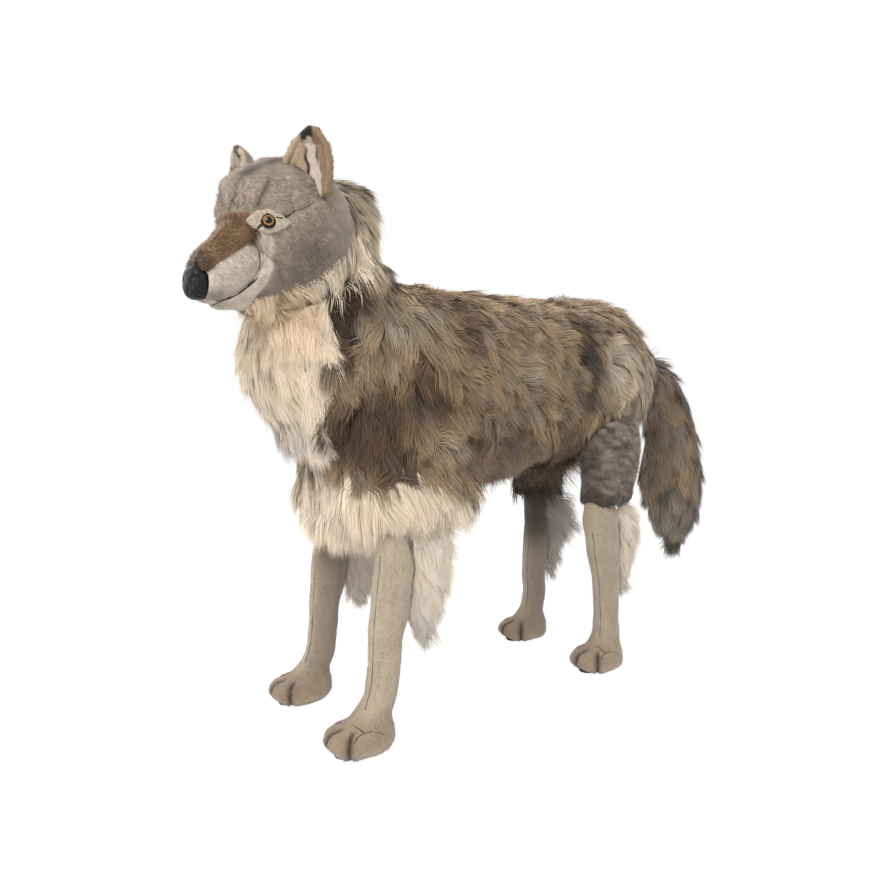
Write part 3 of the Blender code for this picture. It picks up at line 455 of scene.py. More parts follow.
def fuzz(name, mesh, count, length, width, colour, made_of, seed, flow, lean=0.9):
    """The nap of a short plush, one small blade a tuft."""
    roots, normals = scatter(mesh, count, seed)
    way = flow(roots)
    random = np.random.default_rng(seed + 1)
    T = unit(way - normals * (way * normals).sum(axis=1, keepdims=True))
    B = np.cross(normals, T)
    turn = random.normal(0, 0.35, count)[:, None]
    T = T * np.cos(turn) + B * np.sin(turn)
    side = np.cross(normals, T) * (width / 2) * random.uniform(0.6, 1.3, count)[:, None]
    tip = roots + (T * lean + normals * random.uniform(0.3, 0.8, count)[:, None]) * length * random.uniform(
        0.6, 1.2, count)[:, None]
    P = np.stack((roots + side, roots - side, tip), axis=1).reshape(-1, 3)
    P[:, 2] = np.maximum(P[:, 2], FLOOR_CLEARANCE / 2)
    S = np.repeat(unit(normals + T * 0.15), 3, axis=0)
    corner, cells = bake_squares(count)
    blade = ((0.12, 0.1), (0.88, 0.1), (0.5, 0.9))
    U = np.stack([corner + np.array(c) / cells for c in blade], axis=1).reshape(-1, 2)
    tone = random.normal(1.0, 0.07, count)[:, None]
    A = np.tile(np.array((0.35, 0.35, 1.0)), count)
    F = np.arange(count * 3).reshape(-1, 3)
    tint = np.repeat(colour(roots, normals) * tone, 3, axis=0)
    done = build_mesh(name, P, F, S, U, tint, A)
    return new_piece(name, done, made_of)


# Colours of the long coat

TAN = rgb(168, 143, 111)
DARKEN = np.array((0.66, 0.56, 0.50))
LIGHTEN = 1.12
PATCHES = (
    # x from the middle, y, z, radius, all in mm, strength, colour
    (96, -392, 668, 34, 0.9, (82, 60, 44)), (95, -396, 630, 34, 0.9, (82, 60, 44)),
    (105, -400, 590, 26, 0.8, (96, 76, 58)), (111, -402, 480, 38, 1, (90, 72, 55)),
    (137, -265, 538, 38, 0.95, (112, 94, 74)), (130, -341, 510, 44, 0.95, (108, 90, 70)),
    (123, -330, 452, 42, 0.85, (112, 94, 72)), (130, -310, 410, 30, 0.7, (112, 94, 72)),
    (93, -209, 685, 34, 0.55, (118, 96, 74)), (122, -183, 635, 32, 0.7, (118, 98, 76)),
    (131, -186, 600, 26, 0.55, (122, 102, 80)), (118, -83, 630, 18, 0.7, (105, 86, 66)),
    (123, -25, 612, 16, 0.6, (112, 92, 70)), (111, 85, 662, 24, 1, (84, 66, 50)),
    (127, 95, 625, 27, 1, (76, 58, 44)), (133, 103, 580, 31, 1, (74, 56, 42)),
    (127, 91, 530, 27, 0.9, (88, 70, 54)), (130, 205, 622, 18, 0.5, (120, 100, 80)),
    (118, -87, 462, 36, 0.7, (112, 94, 72)), (130, -158, 475, 28, 0.6, (118, 98, 76)),
    (98, 70, 458, 34, 0.7, (108, 90, 70)), (114, -274, 660, 50, 0.6, (172, 158, 134)),
    (133, 185, 570, 64, 0.95, (206, 188, 162)), (100, 300, 580, 64, 0.8, (190, 173, 148)),
    (118, 150, 500, 34, 0.6, (172, 154, 126)), (126, -237, 446, 28, 0.6, (182, 164, 136)),
    (127, -69, 585, 45, 0.5, (178, 160, 130)), (123, -350, 595, 36, 0.5, (170, 152, 124)),
    (40, -100, 710, 45, 0.4, (150, 136, 116)), (20, 150, 710, 50, 0.4, (142, 128, 108)),
)
CREAM = rgb(251, 233, 209)
EDGE_Z = (0.406, 0.445, 0.485, 0.514, 0.528, 0.590, 0.627, 0.662, 0.691, 0.722, 0.741, 0.767)
EDGE_Y = (-0.378, -0.392, -0.428, -0.450, -0.438, -0.434, -0.430, -0.422, -0.380, -0.350, -0.350, -0.363)
FRINGE_Y = (-0.420, -0.378, -0.347, -0.292, -0.202, -0.150, -0.120)
FRINGE_Z = (0.430, 0.415, 0.398, 0.408, 0.388, 0.370, 0.330)


def mirrored(P):
    Q = P.copy()
    Q[:, 0] = np.abs(P[:, 0] - MIDDLE_X)
    return Q


def creaminess(P):
    """1 where the cream cloth of the throat, chest and brisket lies, 0 on the tan coat."""
    ragged = waves(P, 0.030, 71) * 0.006
    bib = P[:, 1] + ragged < np.interp(P[:, 2], EDGE_Z, EDGE_Y)
    bib &= P[:, 2] < 0.785
    fringe = P[:, 2] + ragged < np.interp(P[:, 1], FRINGE_Y, FRINGE_Z, left=1.0, right=0.0)
    return (bib | fringe).astype(float)


def coat_colour(P):
    _, y, z = P.T
    tone = 1 + 0.10 * waves(P, 0.11, 3) + 0.07 * waves(P, 0.045, 4)
    colour = TAN[None] * tone[:, None]
    bent = mirrored(P) + np.stack([waves(P, 0.05, seed) for seed in (11, 12, 13)], axis=1) * 0.008
    for *place, radius, strength, shade in PATCHES:
        gap = np.linalg.norm(bent - np.array(place) / MM, axis=1)
        patch = rgb(*shade)
        patch = patch * (DARKEN if patch[0] < TAN[0] else LIGHTEN)
        colour = mix(colour, patch, strength * np.exp(-((gap / (radius / MM)) ** 4) * 0.7))
    # Painted shade: the lower flanks and belly behind the chest are darkened.
    colour = mix(colour, rgb(92, 76, 60), ease(-z, -0.50, -0.43) * ease(y, -0.22, -0.14) * 0.45)
    colour = mix(colour, rgb(200, 181, 150) * tone[:, None], ease(z, 0.70, 0.76) * ease(-y, 0.22, 0.27))
    colour = colour * (1 + 0.46 * ease(z, 0.655, 0.69) * (y > -0.28))[:, None]
    return mix(colour, rgb(140, 126, 108), ease(z, 0.80, 0.85) * 0.6)


def cream_colour(P):
    _, y, z = P.T
    colour = CREAM[None] * (1 + 0.05 * waves(P, 0.06, 21))[:, None]
    throat = np.linalg.norm(P - from_head([(0.02, 0.22, 0.64)])[0], axis=1)
    colour = mix(colour, rgb(240, 205, 165), 0.5 * bell(throat, 0.0, 0.055))
    grey = ease(-z, -0.52, -0.46) * ease(-y, 0.40, 0.43) * ease(waves(P, 0.05, 22), -0.9, 0.4)
    return mix(colour, rgb(194, 191, 186), 0.85 * grey)


FLOW = np.array((
    # x from the middle, y, z in mm, then the way the hair lies
    (0, -200, 720, 0, 1, 0), (0, 100, 710, 0, 1, -0.05), (0, 300, 700, 0, 1, -0.5),
    (0, 390, 600, 0, 0.5, -1), (100, -150, 670, 0.1, 1, -0.35), (100, 100, 660, 0.1, 1, -0.4),
    (130, -70, 570, 0, 1, -0.5), (130, 30, 570, 0, 1, -0.6), (120, -100, 460, 0, 0.5, -1),
    (100, 60, 450, 0, 0.4, -1), (40, -50, 400, 0, 0.8, -0.3), (133, 167, 600, 0, 0.7, -0.9),
    (130, 200, 520, 0, 0.3, -1), (118, 140, 490, 0, 0.15, -1), (120, 280, 550, 0, 0.5, -1),
    (120, -350, 620, 0, 0.25, -1), (130, -350, 520, 0, 0.05, -1), (130, -300, 560, 0, 0.35, -1),
    (125, -340, 450, 0, 0.4, -0.9), (126, -237, 443, 0, 1, -0.55), (130, -250, 400, 0, 0.5, -1),
    (130, -250, 500, 0, 0.85, -0.6), (135, -200, 550, 0, 0.9, -0.6), (0, -500, 600, 0, 0, -1),
    (60, -470, 520, 0.3, 0.1, -1), (80, -420, 620, 0.1, 0.35, -1), (60, -450, 700, 0.2, 0.15, -1),
    (0, -500, 450, 0, 0, -1), (90, -360, 740, 0, 0.45, -1), (90, -310, 780, 0, 0.7, -0.8),
    (0, -300, 840, 0, 1, -0.3), (0, -270, 780, 0, 0.5, -1), (50, -280, 740, 0, 0.6, -1),
    (130, -300, 360, 0.1, 0.1, -1), (130, -180, 370, 0.1, 0.7, -1), (60, 150, 430, -0.1, 0, -1),
    (50, -420, 360, 0, -0.1, -1),
), float)
FLOW[:, :3] /= MM


def coat_flow(P):
    Q = mirrored(P)
    gap2 = ((Q[:, None, :] - FLOW[None, :, :3]) ** 2).sum(axis=2)
    weight = 1 / (gap2 + 0.03 ** 2) ** 2
    way = (weight @ FLOW[:, 3:]) / weight.sum(axis=1, keepdims=True)
    way[:, 0] *= np.sign(P[:, 0] - MIDDLE_X)
    return way


# Body coat

BODY = ("torso", "neck_mane", "chest_bib", "brisket_fringe")
tan_pile = pile_material("long_tan_pile", (0.55, 0.52, 0.49), (1.30, 1.28, 1.24), level=0.86)
mane_pile = pile_material("mane_pile", (0.58, 0.56, 0.54), (1.3, 1.28, 1.24), level=0.90)
cream_pile = pile_material("long_cream_pile", (0.97, 0.95, 0.92), (1.10, 1.09, 1.08), 0.85, 0.45)
backing = plush_material("pile_backing", 0.75, 1.0, 160.0, 0.1)


def body_push(P):
    """How far the backing stands out of the rounded solids, so that the pile ends where it should."""
    _, y, z = P.T
    front = ease(-y, 0.40, 0.47)
    high_chest = front * bell(z, 0.590, 0.050)
    mid_chest = front * bell(z, 0.485, 0.035)
    low_front = ease(-y, 0.36, 0.42) * ease(-z, -0.475, -0.425)
    nape_top = ease(z, 0.82, 0.85) * ease(y, -0.37, -0.34) * fall(y, -0.33, -0.30)
    neck_rear = ease(y, -0.35, -0.30) * ease(z, 0.722, 0.750) * (1 - 0.45 * ease(z, 0.775, 0.800))
    rump = ease(y, 0.21, 0.29) * ease(z, 0.62, 0.66)
    dorsal = ease(z, 0.66, 0.70) * fall(y, 0.10, 0.20) * ease(y, -0.28, -0.20)
    return (high_chest * 0.010 - mid_chest * 0.014 - low_front * 0.034 - neck_rear * 0.020 - rump * 0.004
            - dorsal * 0.001 + nape_top * 0.008)


body = cloth_form("coat_backing", BODY, 0.012, 0.011, 7)
P, N, _ = arrays(body)
set_points(body, P + N * body_push(P)[:, None])
P, N, _ = arrays(body)
light = creaminess(P)[:, None]
# The backing is tinted darker than the pile over it, as painted shade deep in the fur.
set_tint(body, coat_colour(P) * 0.55 * (1 - light) + cream_colour(P) * 0.95 * light)
new_piece("coat_backing", body, backing, BODY)


def is_mane(P):
    return (P[:, 2] > 0.70 + 0.4 * np.maximum(P[:, 1] + 0.33, 0)) & (P[:, 1] < -0.22)


def coat_piece(name, count, keep, colour, length, width, made_of, slot, **shape):
    roots, normals = scatter(body, count, shape["seed"], keep)
    way = coat_flow(roots)
    T = unit(way - normals * (way * normals).sum(axis=1, keepdims=True))
    tint = colour(roots + T * 0.014)
    shape["lift"] = shape["lift"] * (1 + 0.6 * ease(roots[:, 2], 0.66, 0.71) * (roots[:, 1] > -0.28))
    mesh = hair(name, roots, normals, way, length(roots), width, tint, **shape)
    new_piece(name, mesh, made_of)


def torso_length(P):
    x, y, z = P.T
    belly = ease(-z, -0.46, -0.40)
    groin = ease(y, 0.02, 0.08) * fall(y, 0.24, 0.30) * ease(-z, -0.47, -0.44)
    haunch = ease(y, 0.08, 0.14) * ease(-z, -0.52, -0.46)
    low_belly = ease(y, -0.20, -0.15) * fall(y, -0.06, 0.0) * belly
    tuft = ease(y, 0.09, 0.13) * fall(y, 0.15, 0.18) * (z < 0.46) * (np.abs(x - MIDDLE_X) < 0.07)
    return (0.041 - 0.004 * ease(z, 0.60, 0.70) - 0.010 * belly * ((y > 0.0) & (y < 0.08)) + 0.012 * haunch
            + 0.018 * groin + 0.020 * low_belly + 0.050 * tuft)


for word, side in SIDES:
    coat_piece(
        "torso_pile_" + word, 51000,
        lambda C, side=side: ((C[:, 0] - MIDDLE_X) * side > 0) * (1 - creaminess(C)) * ~is_mane(C),
        coat_colour, torso_length, 0.0018, tan_pile, "long_tan_pile",
        lift=0.42, clump=0.42, lock=0.021, yaw=0.42, drop=0.12, curl=0.05, own=0.26, bright=0.15, fade=0.2,
        seed=100 + side)
coat_piece(
    "mane_pile", 13000, lambda C: (1 - creaminess(C)) * is_mane(C), coat_colour,
    lambda R: np.full(len(R), 0.040), 0.0018, mane_pile, "mane_pile",
    lift=0.32, clump=0.40, lock=0.018, yaw=0.22, drop=0.08, own=0.22, seed=120)
coat_piece(
    "bib_pile", 33000, lambda C: creaminess(C) * (C[:, 2] > 0.44), cream_colour,
    lambda R: 0.042 + 0.010 * ease(-R[:, 2], -0.62, -0.50), 0.0011, cream_pile, "long_cream_pile",
    lift=0.28, clump=0.45, lock=0.016, yaw=0.22, drop=0.12, curl=0.06, own=0.24, bright=0.05, fade=0.05,
    seed=140)
coat_piece(
    "fringe_pile", 25500, lambda C: creaminess(C) * (C[:, 2] <= 0.44), cream_colour,
    lambda R: 0.052 + 0.012 * ease(R[:, 1], -0.25, -0.20), 0.0012, cream_pile, "long_cream_pile",
    lift=0.34, clump=0.55, lock=0.017, yaw=0.20, drop=0.26, curl=0.07, own=0.26, bright=0.05, fade=0.06,
    seed=160)

# Tail

TAIL_LINE = spline([(MIDDLE_X, y, z) for y, z in (
    (0.36, 0.64), (0.405, 0.62), (0.458, 0.585), (0.508, 0.50), (0.535, 0.40), (0.545, 0.30), (0.542, 0.22),
    (0.535, 0.15))], 6)


def tail_flow(P):
    middle = (TAIL_LINE[1:] + TAIL_LINE[:-1]) / 2
    near = ((P[:, None] - middle[None]) ** 2).sum(axis=2).argmin(axis=1)
    return unit(np.diff(TAIL_LINE, axis=0))[near] + unit(P - middle[near]) * 0.15


def tail_colour(P):
    _, y, z = P.T
    tone = 1 + 0.12 * waves(P, 0.08, 41) + 0.08 * waves(P, 0.03, 42)
    colour = rgb(150, 130, 106)[None] * tone[:, None]
    colour = mix(colour, rgb(146, 136, 122), 0.6 * ease(y, 0.53, 0.60))
    colour = mix(colour, rgb(152, 146, 136), 0.6 * ease(-z, -0.36, -0.27))
    colour = mix(colour, rgb(84, 80, 76), 0.7 * ease(-z, -0.24, -0.185))
    return mix(colour, rgb(140, 124, 104), 0.4 * ease(z, 0.55, 0.62))


tail = cloth_form("tail_backing", ("tail",), 0.010, 0.016, 8)
P, N, _ = arrays(tail)
z = P[:, 2]
root = ease(z, 0.610, 0.635) * ease(N[:, 2], 0.0, 0.5)
bend = bell(z, 0.56, 0.06) * ease(N[:, 1] + N[:, 2], 0.0, 0.5)
fore = (bell(z, 0.345, 0.06) - 0.7 * fall(z, 0.19, 0.25)) * ease(-N[:, 1], 0.0, 0.5)
set_points(tail, P + N * (root * 0.010 - bend * 0.001 + fore * 0.012)[:, None])
P, _, _ = arrays(tail)
# The backing is the tail's colour halved, as painted shade deep in the fur.
set_tint(tail, tail_colour(P) * 0.5)
new_piece("tail_backing", tail, backing, ("tail",))
roots, normals = scatter(tail, 25000, 200)
mesh = hair("tail_pile", roots, normals, tail_flow(roots), np.full(len(roots), 0.050), 0.0016,
            tail_colour(roots), lift=0.34, clump=0.48, lock=0.020, yaw=0.24, drop=0.06, curl=0.03, own=0.22,
            bright=0.22, fade=0.5, seed=201)
new_piece("tail_pile", mesh, tan_pile)

# Feathers


def feather_colour(P, grey):
    """Cream, greyer towards the foot of the feather, and greyer all over by the share given, which paints
    shade on the right side's feathers.
    """
    colour = CREAM[None] * (1 + 0.06 * waves(P, 0.04, 51))[:, None]
    low = np.maximum(ease(-P[:, 2], -0.24, -0.16) * 0.5, grey)
    return mix(colour, rgb(176, 172, 168), low) * np.array((0.985, 1.02, 1.08))


# Kind, side, how far the foot is raised, share of grey that paints shade on the right side, slope of the
# hair, its length, what is added to the length, and the heights between which it is added
for kind, word, raised, grey, slope, long, more, top in (
        ("elbow", "left", 0.002, 0.0, 0.60, 0.034, 0.008, (0.22, 0.28)),
        ("elbow", "right", 0.012, 0.25, 0.60, 0.034, 0.008, (0.22, 0.28)),
        ("hock", "left", 0.010, 0.0, 0.60, 0.034, 0.010, (0.22, 0.28)),
        ("hock", "right", 0.002, 0.75, 1.4, 0.040, 0.036, (0.20, 0.26))):
    side = dict(SIDES)[word]
    node = kind + "_feather_" + word
    form = cloth_form(node + "_backing", (node,), 0.005, 0.008, 3)
    P, _, _ = arrays(form)
    foot = P[:, 2].min()
    P[:, 2] += raised * fall(P[:, 2], foot, foot + 0.09)
    if node == "hock_feather_left":
        P[:, 1] -= 0.009 * fall(P[:, 2], 0.20, 0.28)
    set_points(form, P)
    set_tint(form, feather_colour(P, grey) * 0.95)
    new_piece(node + "_backing", form, backing, (node,))
    roots, normals = scatter(form, 5400 if kind == "elbow" else 4000, 220 + side)
    way = np.tile(np.array((0.0, slope, -1.0)), (len(roots), 1))
    mesh = hair(node + "_pile", roots, normals, way, long + more * ease(roots[:, 2], *top), 0.0012,
                feather_colour(roots, grey), lift=0.28, clump=0.50, lock=0.014, yaw=0.26, drop=0.12,
                curl=0.06, own=0.2, bright=0.05, fade=0.06, seed=230 + side)
    new_piece(node + "_pile", mesh, cream_pile)

# Head

# Lines on its left side: b, a, c in mm
LASH = ((54.5, 250, 750.5), (58, 243, 750), (62, 236, 754), (67, 228, 762))
TEAR = ((41.5, 261, 741), (38, 265, 735), (33, 268, 727))
FURROW = ((45, 250, 800), (46, 258, 786), (45, 265, 773), (42, 268, 763))
BROW = ((4, 284, 766), (18, 280, 761), (32, 276, 757), (42, 268, 761))
TEMPLE = ((67, 228, 762), (74, 210, 771), (75, 186, 792), (72, 164, 801))
CHEEK = ((74, 212, 771), (76, 209, 755), (79, 200, 743), (83, 179, 742))
PAD = ((33, 266, 727), (33, 256, 715), (36, 255, 694), (35, 265, 675))
MOUTH = ((37, 264, 675), (34, 270, 668), (26, 286, 652), (17, 300, 643), (12, 309, 640))
BAND_C = (0.640, 0.653, 0.669, 0.692, 0.712, 0.728, 0.740)
BAND_A = (0.262, 0.261, 0.250, 0.242, 0.242, 0.248, 0.262)
GREY_TAN = rgb(170, 153, 133)
CREAM_PLUSH = rgb(216, 202, 183)
DARK = (104, 92, 84)
# Soft spots and brushed strokes: points and reach in mm, colour, strength
HEAD_MARKS = (
    (((78, 200, 712),), 34, (120, 107, 97), 0.85),
    (((60, 215, 680),), 26, (116, 106, 98), 0.7),
    (((70, 150, 745),), 30, (150, 137, 122), 0.5),
    (((66, 190, 800),), 22, (132, 117, 102), 0.7),
    (((34, 262, 790),), 20, (184, 171, 155), 0.6),
    (((22, 262, 812), (21, 277, 797), (14, 281, 779), (6, 284, 767)), 5.5, DARK, 0.75),
    (((21, 267, 808), (20, 245, 824), (26, 222, 833), (45, 200, 828)), 11, (92, 84, 80), 0.85),
    (FURROW, 5, (118, 100, 84), 0.7),
    (((58, 240, 800), (60, 240, 782), (55, 250, 768)), 4, DARK, 0.35),
)
BRIDGE_MARKS = (
    (((34, 272, 750), (36, 270, 735), (36, 272, 722)), 8, (98, 74, 54), 0.8),
    (((26, 290, 716), (20, 312, 692), (18, 325, 680)), 5, (104, 78, 56), 0.6),
)
MUZZLE_MARKS = (
    # Painted shade: a dark grey smudge under the nose, and a softer one along the mouth.
    (((22, 310, 643), (14, 326, 641), (4, 336, 641)), 10, (88, 81, 78), 0.7),
    (MOUTH, 3.5, (120, 106, 98), 0.6),
    (((30, 285, 690),), 16, (200, 184, 160), 0.4),
)
JAW_MARKS = ((((16, 300, 634), (0, 308, 634)), 9, (140, 132, 126), 0.6),)


def marked(colour, H, marks):
    for points, reach, shade, strength in marks:
        line = np.array(points) / MM
        gap = line_distance(H, line)[0] if len(line) > 1 else np.linalg.norm(H - line[0], axis=1)
        colour = mix(colour, rgb(*shade), strength * bell(gap, 0.0, reach / MM))
    return colour


def half_head(P):
    """Points in the head's frame, with its right side laid over the left."""
    H = to_head(P)
    H[:, 0] = np.abs(H[:, 0])
    return H


def in_band(H):
    """1 on the cream band that climbs behind the mouth, 0 behind it."""
    return ease(H[:, 1] - np.interp(H[:, 2], BAND_C, BAND_A), -0.002, 0.002)


def head_colour(P, N):
    H = half_head(P)
    b, a, c = H.T
    tone = 1 + 0.08 * waves(P, 0.030, 61) + 0.07 * waves(P, 0.012, 62)
    marbled = bell(np.linalg.norm(H - np.array((0.078, 0.195, 0.715)), axis=1), 0.0, 0.055)
    tone = tone + 0.16 * marbled * waves(P * np.array((1.0, 1.0, 1.8)), 0.020, 69)
    colour = marked(GREY_TAN[None] * tone[:, None], H, HEAD_MARKS)
    band = in_band(H) * (c < 0.742)
    colour = mix(colour, CREAM_PLUSH * tone[:, None], band)
    bridge = fall(b + 0.25 * (c - 0.74), 0.034, 0.037) * fall(c, 0.754, 0.759) * ease(a, 0.255, 0.262)
    colour = mix(colour, rgb(140, 110, 82) * tone[:, None], bridge)
    return mix(colour, rgb(*DARK), 0.5 * ease(-c, -0.672, -0.655) * (1 - band))


def bridge_colour(P, N):
    H = half_head(P)
    tone = 1 + 0.16 * waves(P, 0.020, 63) + 0.10 * waves(P, 0.009, 64)
    colour = marked(rgb(152, 120, 88)[None] * tone[:, None], H, BRIDGE_MARKS)
    return mix(colour, rgb(72, 64, 60), 0.8 * ease(H[:, 1], 0.318, 0.334))


def muzzle_colour(P, N):
    tone = 1 + 0.05 * waves(P, 0.016, 65) + 0.04 * waves(P, 0.007, 66)
    return marked(CREAM_PLUSH[None] * tone[:, None], half_head(P), MUZZLE_MARKS)


def jaw_colour(P, N):
    H = half_head(P)
    tone = 1 + 0.05 * waves(P, 0.016, 67)
    colour = marked(CREAM_PLUSH[None] * tone[:, None], H, JAW_MARKS)
    return mix(colour, head_colour(P, N), 1 - in_band(H))


def lid_colour(P, N):
    tone = 1 + 0.05 * waves(P, 0.010, 68)
    return rgb(212, 197, 176)[None] * tone[:, None]


def valleys(mesh, lines, depth, width):
    P, N, _ = arrays(mesh)
    push = np.zeros(len(P))
    for line in lines:
        gap, _ = line_distance(P, line)
        push = np.maximum(push, bell(gap, 0.0, width))
    set_points(mesh, P - N * (push * depth)[:, None])


def pad_shape(P, N):
    Q = P.copy()
    Q[:, 2] -= 0.0038 * fall(P[:, 2], 0.648, 0.672)
    return Q


def bridge_shape(P, N):
    H = to_head(P)
    H[:, 1] += 0.005 * ease(H[:, 1], 0.290, 0.328)
    H[:, 2] -= 0.0062 * ease(H[:, 1], 0.280, 0.302)
    return from_head(H)


def nose_shape(P, N):
    H = to_head(P)
    H[:, 2] -= 0.0060 * fall(H[:, 2], 0.645, 0.682)
    H[:, 1] += 0.0010
    return from_head(H)


def jaw_shape(P, N):
    H = to_head(P)
    H[:, 2] -= 0.0030 * ease(H[:, 1], 0.275, 0.300)
    return from_head(H)


def head_shape(P, N):
    """Loose folds, a flatter right brow and a fuller crown."""
    H = to_head(P)
    brow = ease(-H[:, 0], 0.015, 0.035) * ease(H[:, 1], 0.19, 0.22) * ease(H[:, 2], 0.765, 0.785)
    crown = ease(H[:, 2], 0.828, 0.842)
    return puffed(P, N) + N * (crown * 0.003 - brow * 0.0085)[:, None]


def both_sides(*marks):
    return [spline(head_line(line, side), 6) for line in marks for side in (1, -1)]


grey_plush = plush_material("grey_short_plush")
brown_plush = plush_material("brown_short_plush", 0.80, 1.10)
cream_plush = plush_material("cream_short_plush", 0.90, 1.05)
beige_plush = plush_material("beige_short_plush", 0.88, 1.06, 700.0)
marbled_plush = plush_material("marbled_short_plush", 0.74, 1.12, 90.0, 0.35, (1.0, 1.0, 2.6))
short_nap = pile_material("short_nap", (0.80, 0.79, 0.78), (1.08, 1.08, 1.08), 0.85, 0.2, 0.86)


def head_flow(P):
    """The nap of the head lies back from the nose and down over the cheeks."""
    H = to_head(P)
    back = ease(H[:, 2], 0.74, 0.80)
    return head_way(np.sign(H[:, 0]) * 0.45, -np.ones(len(P)), 0.55 * back - 0.45 * (1 - back))


def plush_piece(name, node_names, voxel, inwards, rounds, colour, made_of, tufts, nap, seed, lines=(),
                depth=0.0012, spread=0.002, flow=head_flow, shape=None, blade=0.0014):
    form = cloth_form(name, node_names, voxel, inwards, rounds)
    if shape:
        P, N, _ = arrays(form)
        set_points(form, shape(P, N))
    if lines:
        valleys(form, lines, depth, spread)
    P, N, _ = arrays(form)
    set_tint(form, colour(P, N))
    new_piece(name, form, made_of, node_names)
    if tufts:
        fuzz(name + "_nap", form, tufts, nap, blade, colour, short_nap, seed, flow)
    return form


def puffed(P, N):
    """Loose folds of a stuffed skin."""
    return P + N * (waves(P, 0.045, 81) * 0.0010 + waves(P, 0.022, 82) * 0.0005)[:, None]


head_lines = both_sides(LASH, TEAR, FURROW, BROW, TEMPLE, CHEEK)
head = plush_piece("head_plush", ("head",), 0.0036, 0.0004, 4, head_colour, grey_plush,
                   23000, 0.0040, 300, head_lines, 0.0016, 0.0026, shape=head_shape)
bridge = plush_piece("muzzle_bridge_plush", ("muzzle_bridge",), 0.0024, 0.0008, 3, bridge_colour, brown_plush,
                     5500, 0.0048, 310, blade=0.0016, shape=bridge_shape)
sides = {}
for word, side in SIDES:
    sides[word] = plush_piece("muzzle_" + word + "_plush", ("muzzle_" + word,), 0.0024, 0.0003, 3,
                              muzzle_colour, cream_plush, 4500, 0.0022, 320 + side,
                              shape=pad_shape)
jaw = plush_piece("lower_jaw_plush", ("lower_jaw",), 0.0026, 0.0004, 3, jaw_colour, cream_plush,
                  4500, 0.0022, 330, shape=jaw_shape)
for word, side in SIDES:
    plush_piece("eyelid_" + word + "_plush", ("eyelid_" + word,), 0.0015, 0.0, 1, lid_colour, cream_plush,
                900, 0.0020, 340 + side)

# Ruff, rooted along the lower and rear edge of the head

RUFF_A = (0.108, 0.116, 0.132, 0.154, 0.182, 0.201, 0.236, 0.257, 0.275)
RUFF_C = (0.900, 0.776, 0.740, 0.714, 0.688, 0.675, 0.660, 0.654, 0.640)


def behind_ruff(P):
    H = to_head(P)
    ragged = waves(P, 0.02, 111) * 0.003
    cheek = (H[:, 2] + ragged < np.interp(H[:, 1], RUFF_A, RUFF_C)) & (H[:, 1] < 0.268)
    nape = (H[:, 2] > 0.79) & (H[:, 1] < 0.116 + (H[:, 2] - 0.776) * 0.33)
    return (cheek | nape).astype(float)


def ruff_colour(P):
    H = to_head(P)
    high = ease(H[:, 2], 0.755, 0.785)[:, None]
    crown = (ease(H[:, 2], 0.81, 0.84) * 0.5)[:, None]
    colour = cream_colour(P) * (1 - high) + rgb(184, 168, 142) * high
    colour = mix(colour, rgb(120, 108, 94), crown)
    edge = np.interp(H[:, 1], RUFF_A, RUFF_C) - H[:, 2]
    near = (0.30 * fall(edge, 0.0, 0.012) * (H[:, 2] < 0.79))[:, None]
    return (colour * (1 - near) + GREY_TAN * 1.1 * near) * 1.12


def ruff_flow(P):
    b, _, c = to_head(P).T
    rise = ease(c, 0.77, 0.83)
    outwards = np.sign(b) * np.minimum(np.abs(b) / 0.03, 1.0) * 0.25
    return head_way(outwards, -0.75 - 0.5 * rise, -1.0 + 0.9 * rise)


roots, normals = scatter(head, 7500, 500, behind_ruff)
more, more_normals = scatter(jaw, 1200, 502, lambda C: behind_ruff(C) * (to_head(C)[:, 1] < 0.262))
roots, normals = np.concatenate((roots, more)), np.concatenate((normals, more_normals))
mesh = hair("ruff_pile", roots, normals, ruff_flow(roots), np.full(len(roots), 0.042), 0.0014,
            ruff_colour(roots), lift=0.16 + 0.40 * ease(to_head(roots)[:, 2], 0.80, 0.84), clump=0.35,
            lock=0.013, yaw=0.14, drop=0.05, curl=0.04, own=0.18, bright=0.04, fade=0.0, seed=501)
new_piece("ruff_pile", mesh, cream_pile)

# Ears


def across_ear(H):
    """0 at the front edge of the cup to 1 at its rear edge."""
    across = (np.abs(H[:, 0]) - 0.064) * 0.83 - (H[:, 1] - 0.200) * 0.56 + (H[:, 2] - 0.82) * 0.10
    return (across + 0.017) / 0.034


def ear_colour(P, N):
    H = to_head(P)
    side = np.sign(H[:, 0])
    facing = to_head(N + HEAD_PIVOT)
    tone = 1 + 0.08 * waves(P, 0.014, 91)
    colour = rgb(158, 130, 100)[None] * tone[:, None]
    inner = ease(-facing[:, 0] * side, 0.2, 0.6)[:, None]
    colour = mix(colour, rgb(142, 126, 108), inner)
    t = across_ear(H)
    open_side = ease(facing[:, 1] * 0.83 + facing[:, 0] * side * 0.56, 0.15, 0.35)
    flap = (fall(t, 0.46, 0.54) * open_side)[:, None]
    colour = mix(colour, rgb(192, 172, 144), flap)
    end = np.where(side > 0, 0.74, 1.25)
    strip = (ease(t, 0.46, 0.54) * fall(t - end, 0.0, 0.08) * open_side)[:, None]
    colour = mix(colour, rgb(212, 196, 180), strip)
    tip = ease(H[:, 2] + 0.003 * waves(P, 0.01, 94), 0.858, 0.862)
    tip = (tip * ease(t, 0.25, 0.42) * (1 - 0.9 * ease(t, 0.80, 0.90)))[:, None]
    return mix(colour, rgb(52, 44, 42), tip)


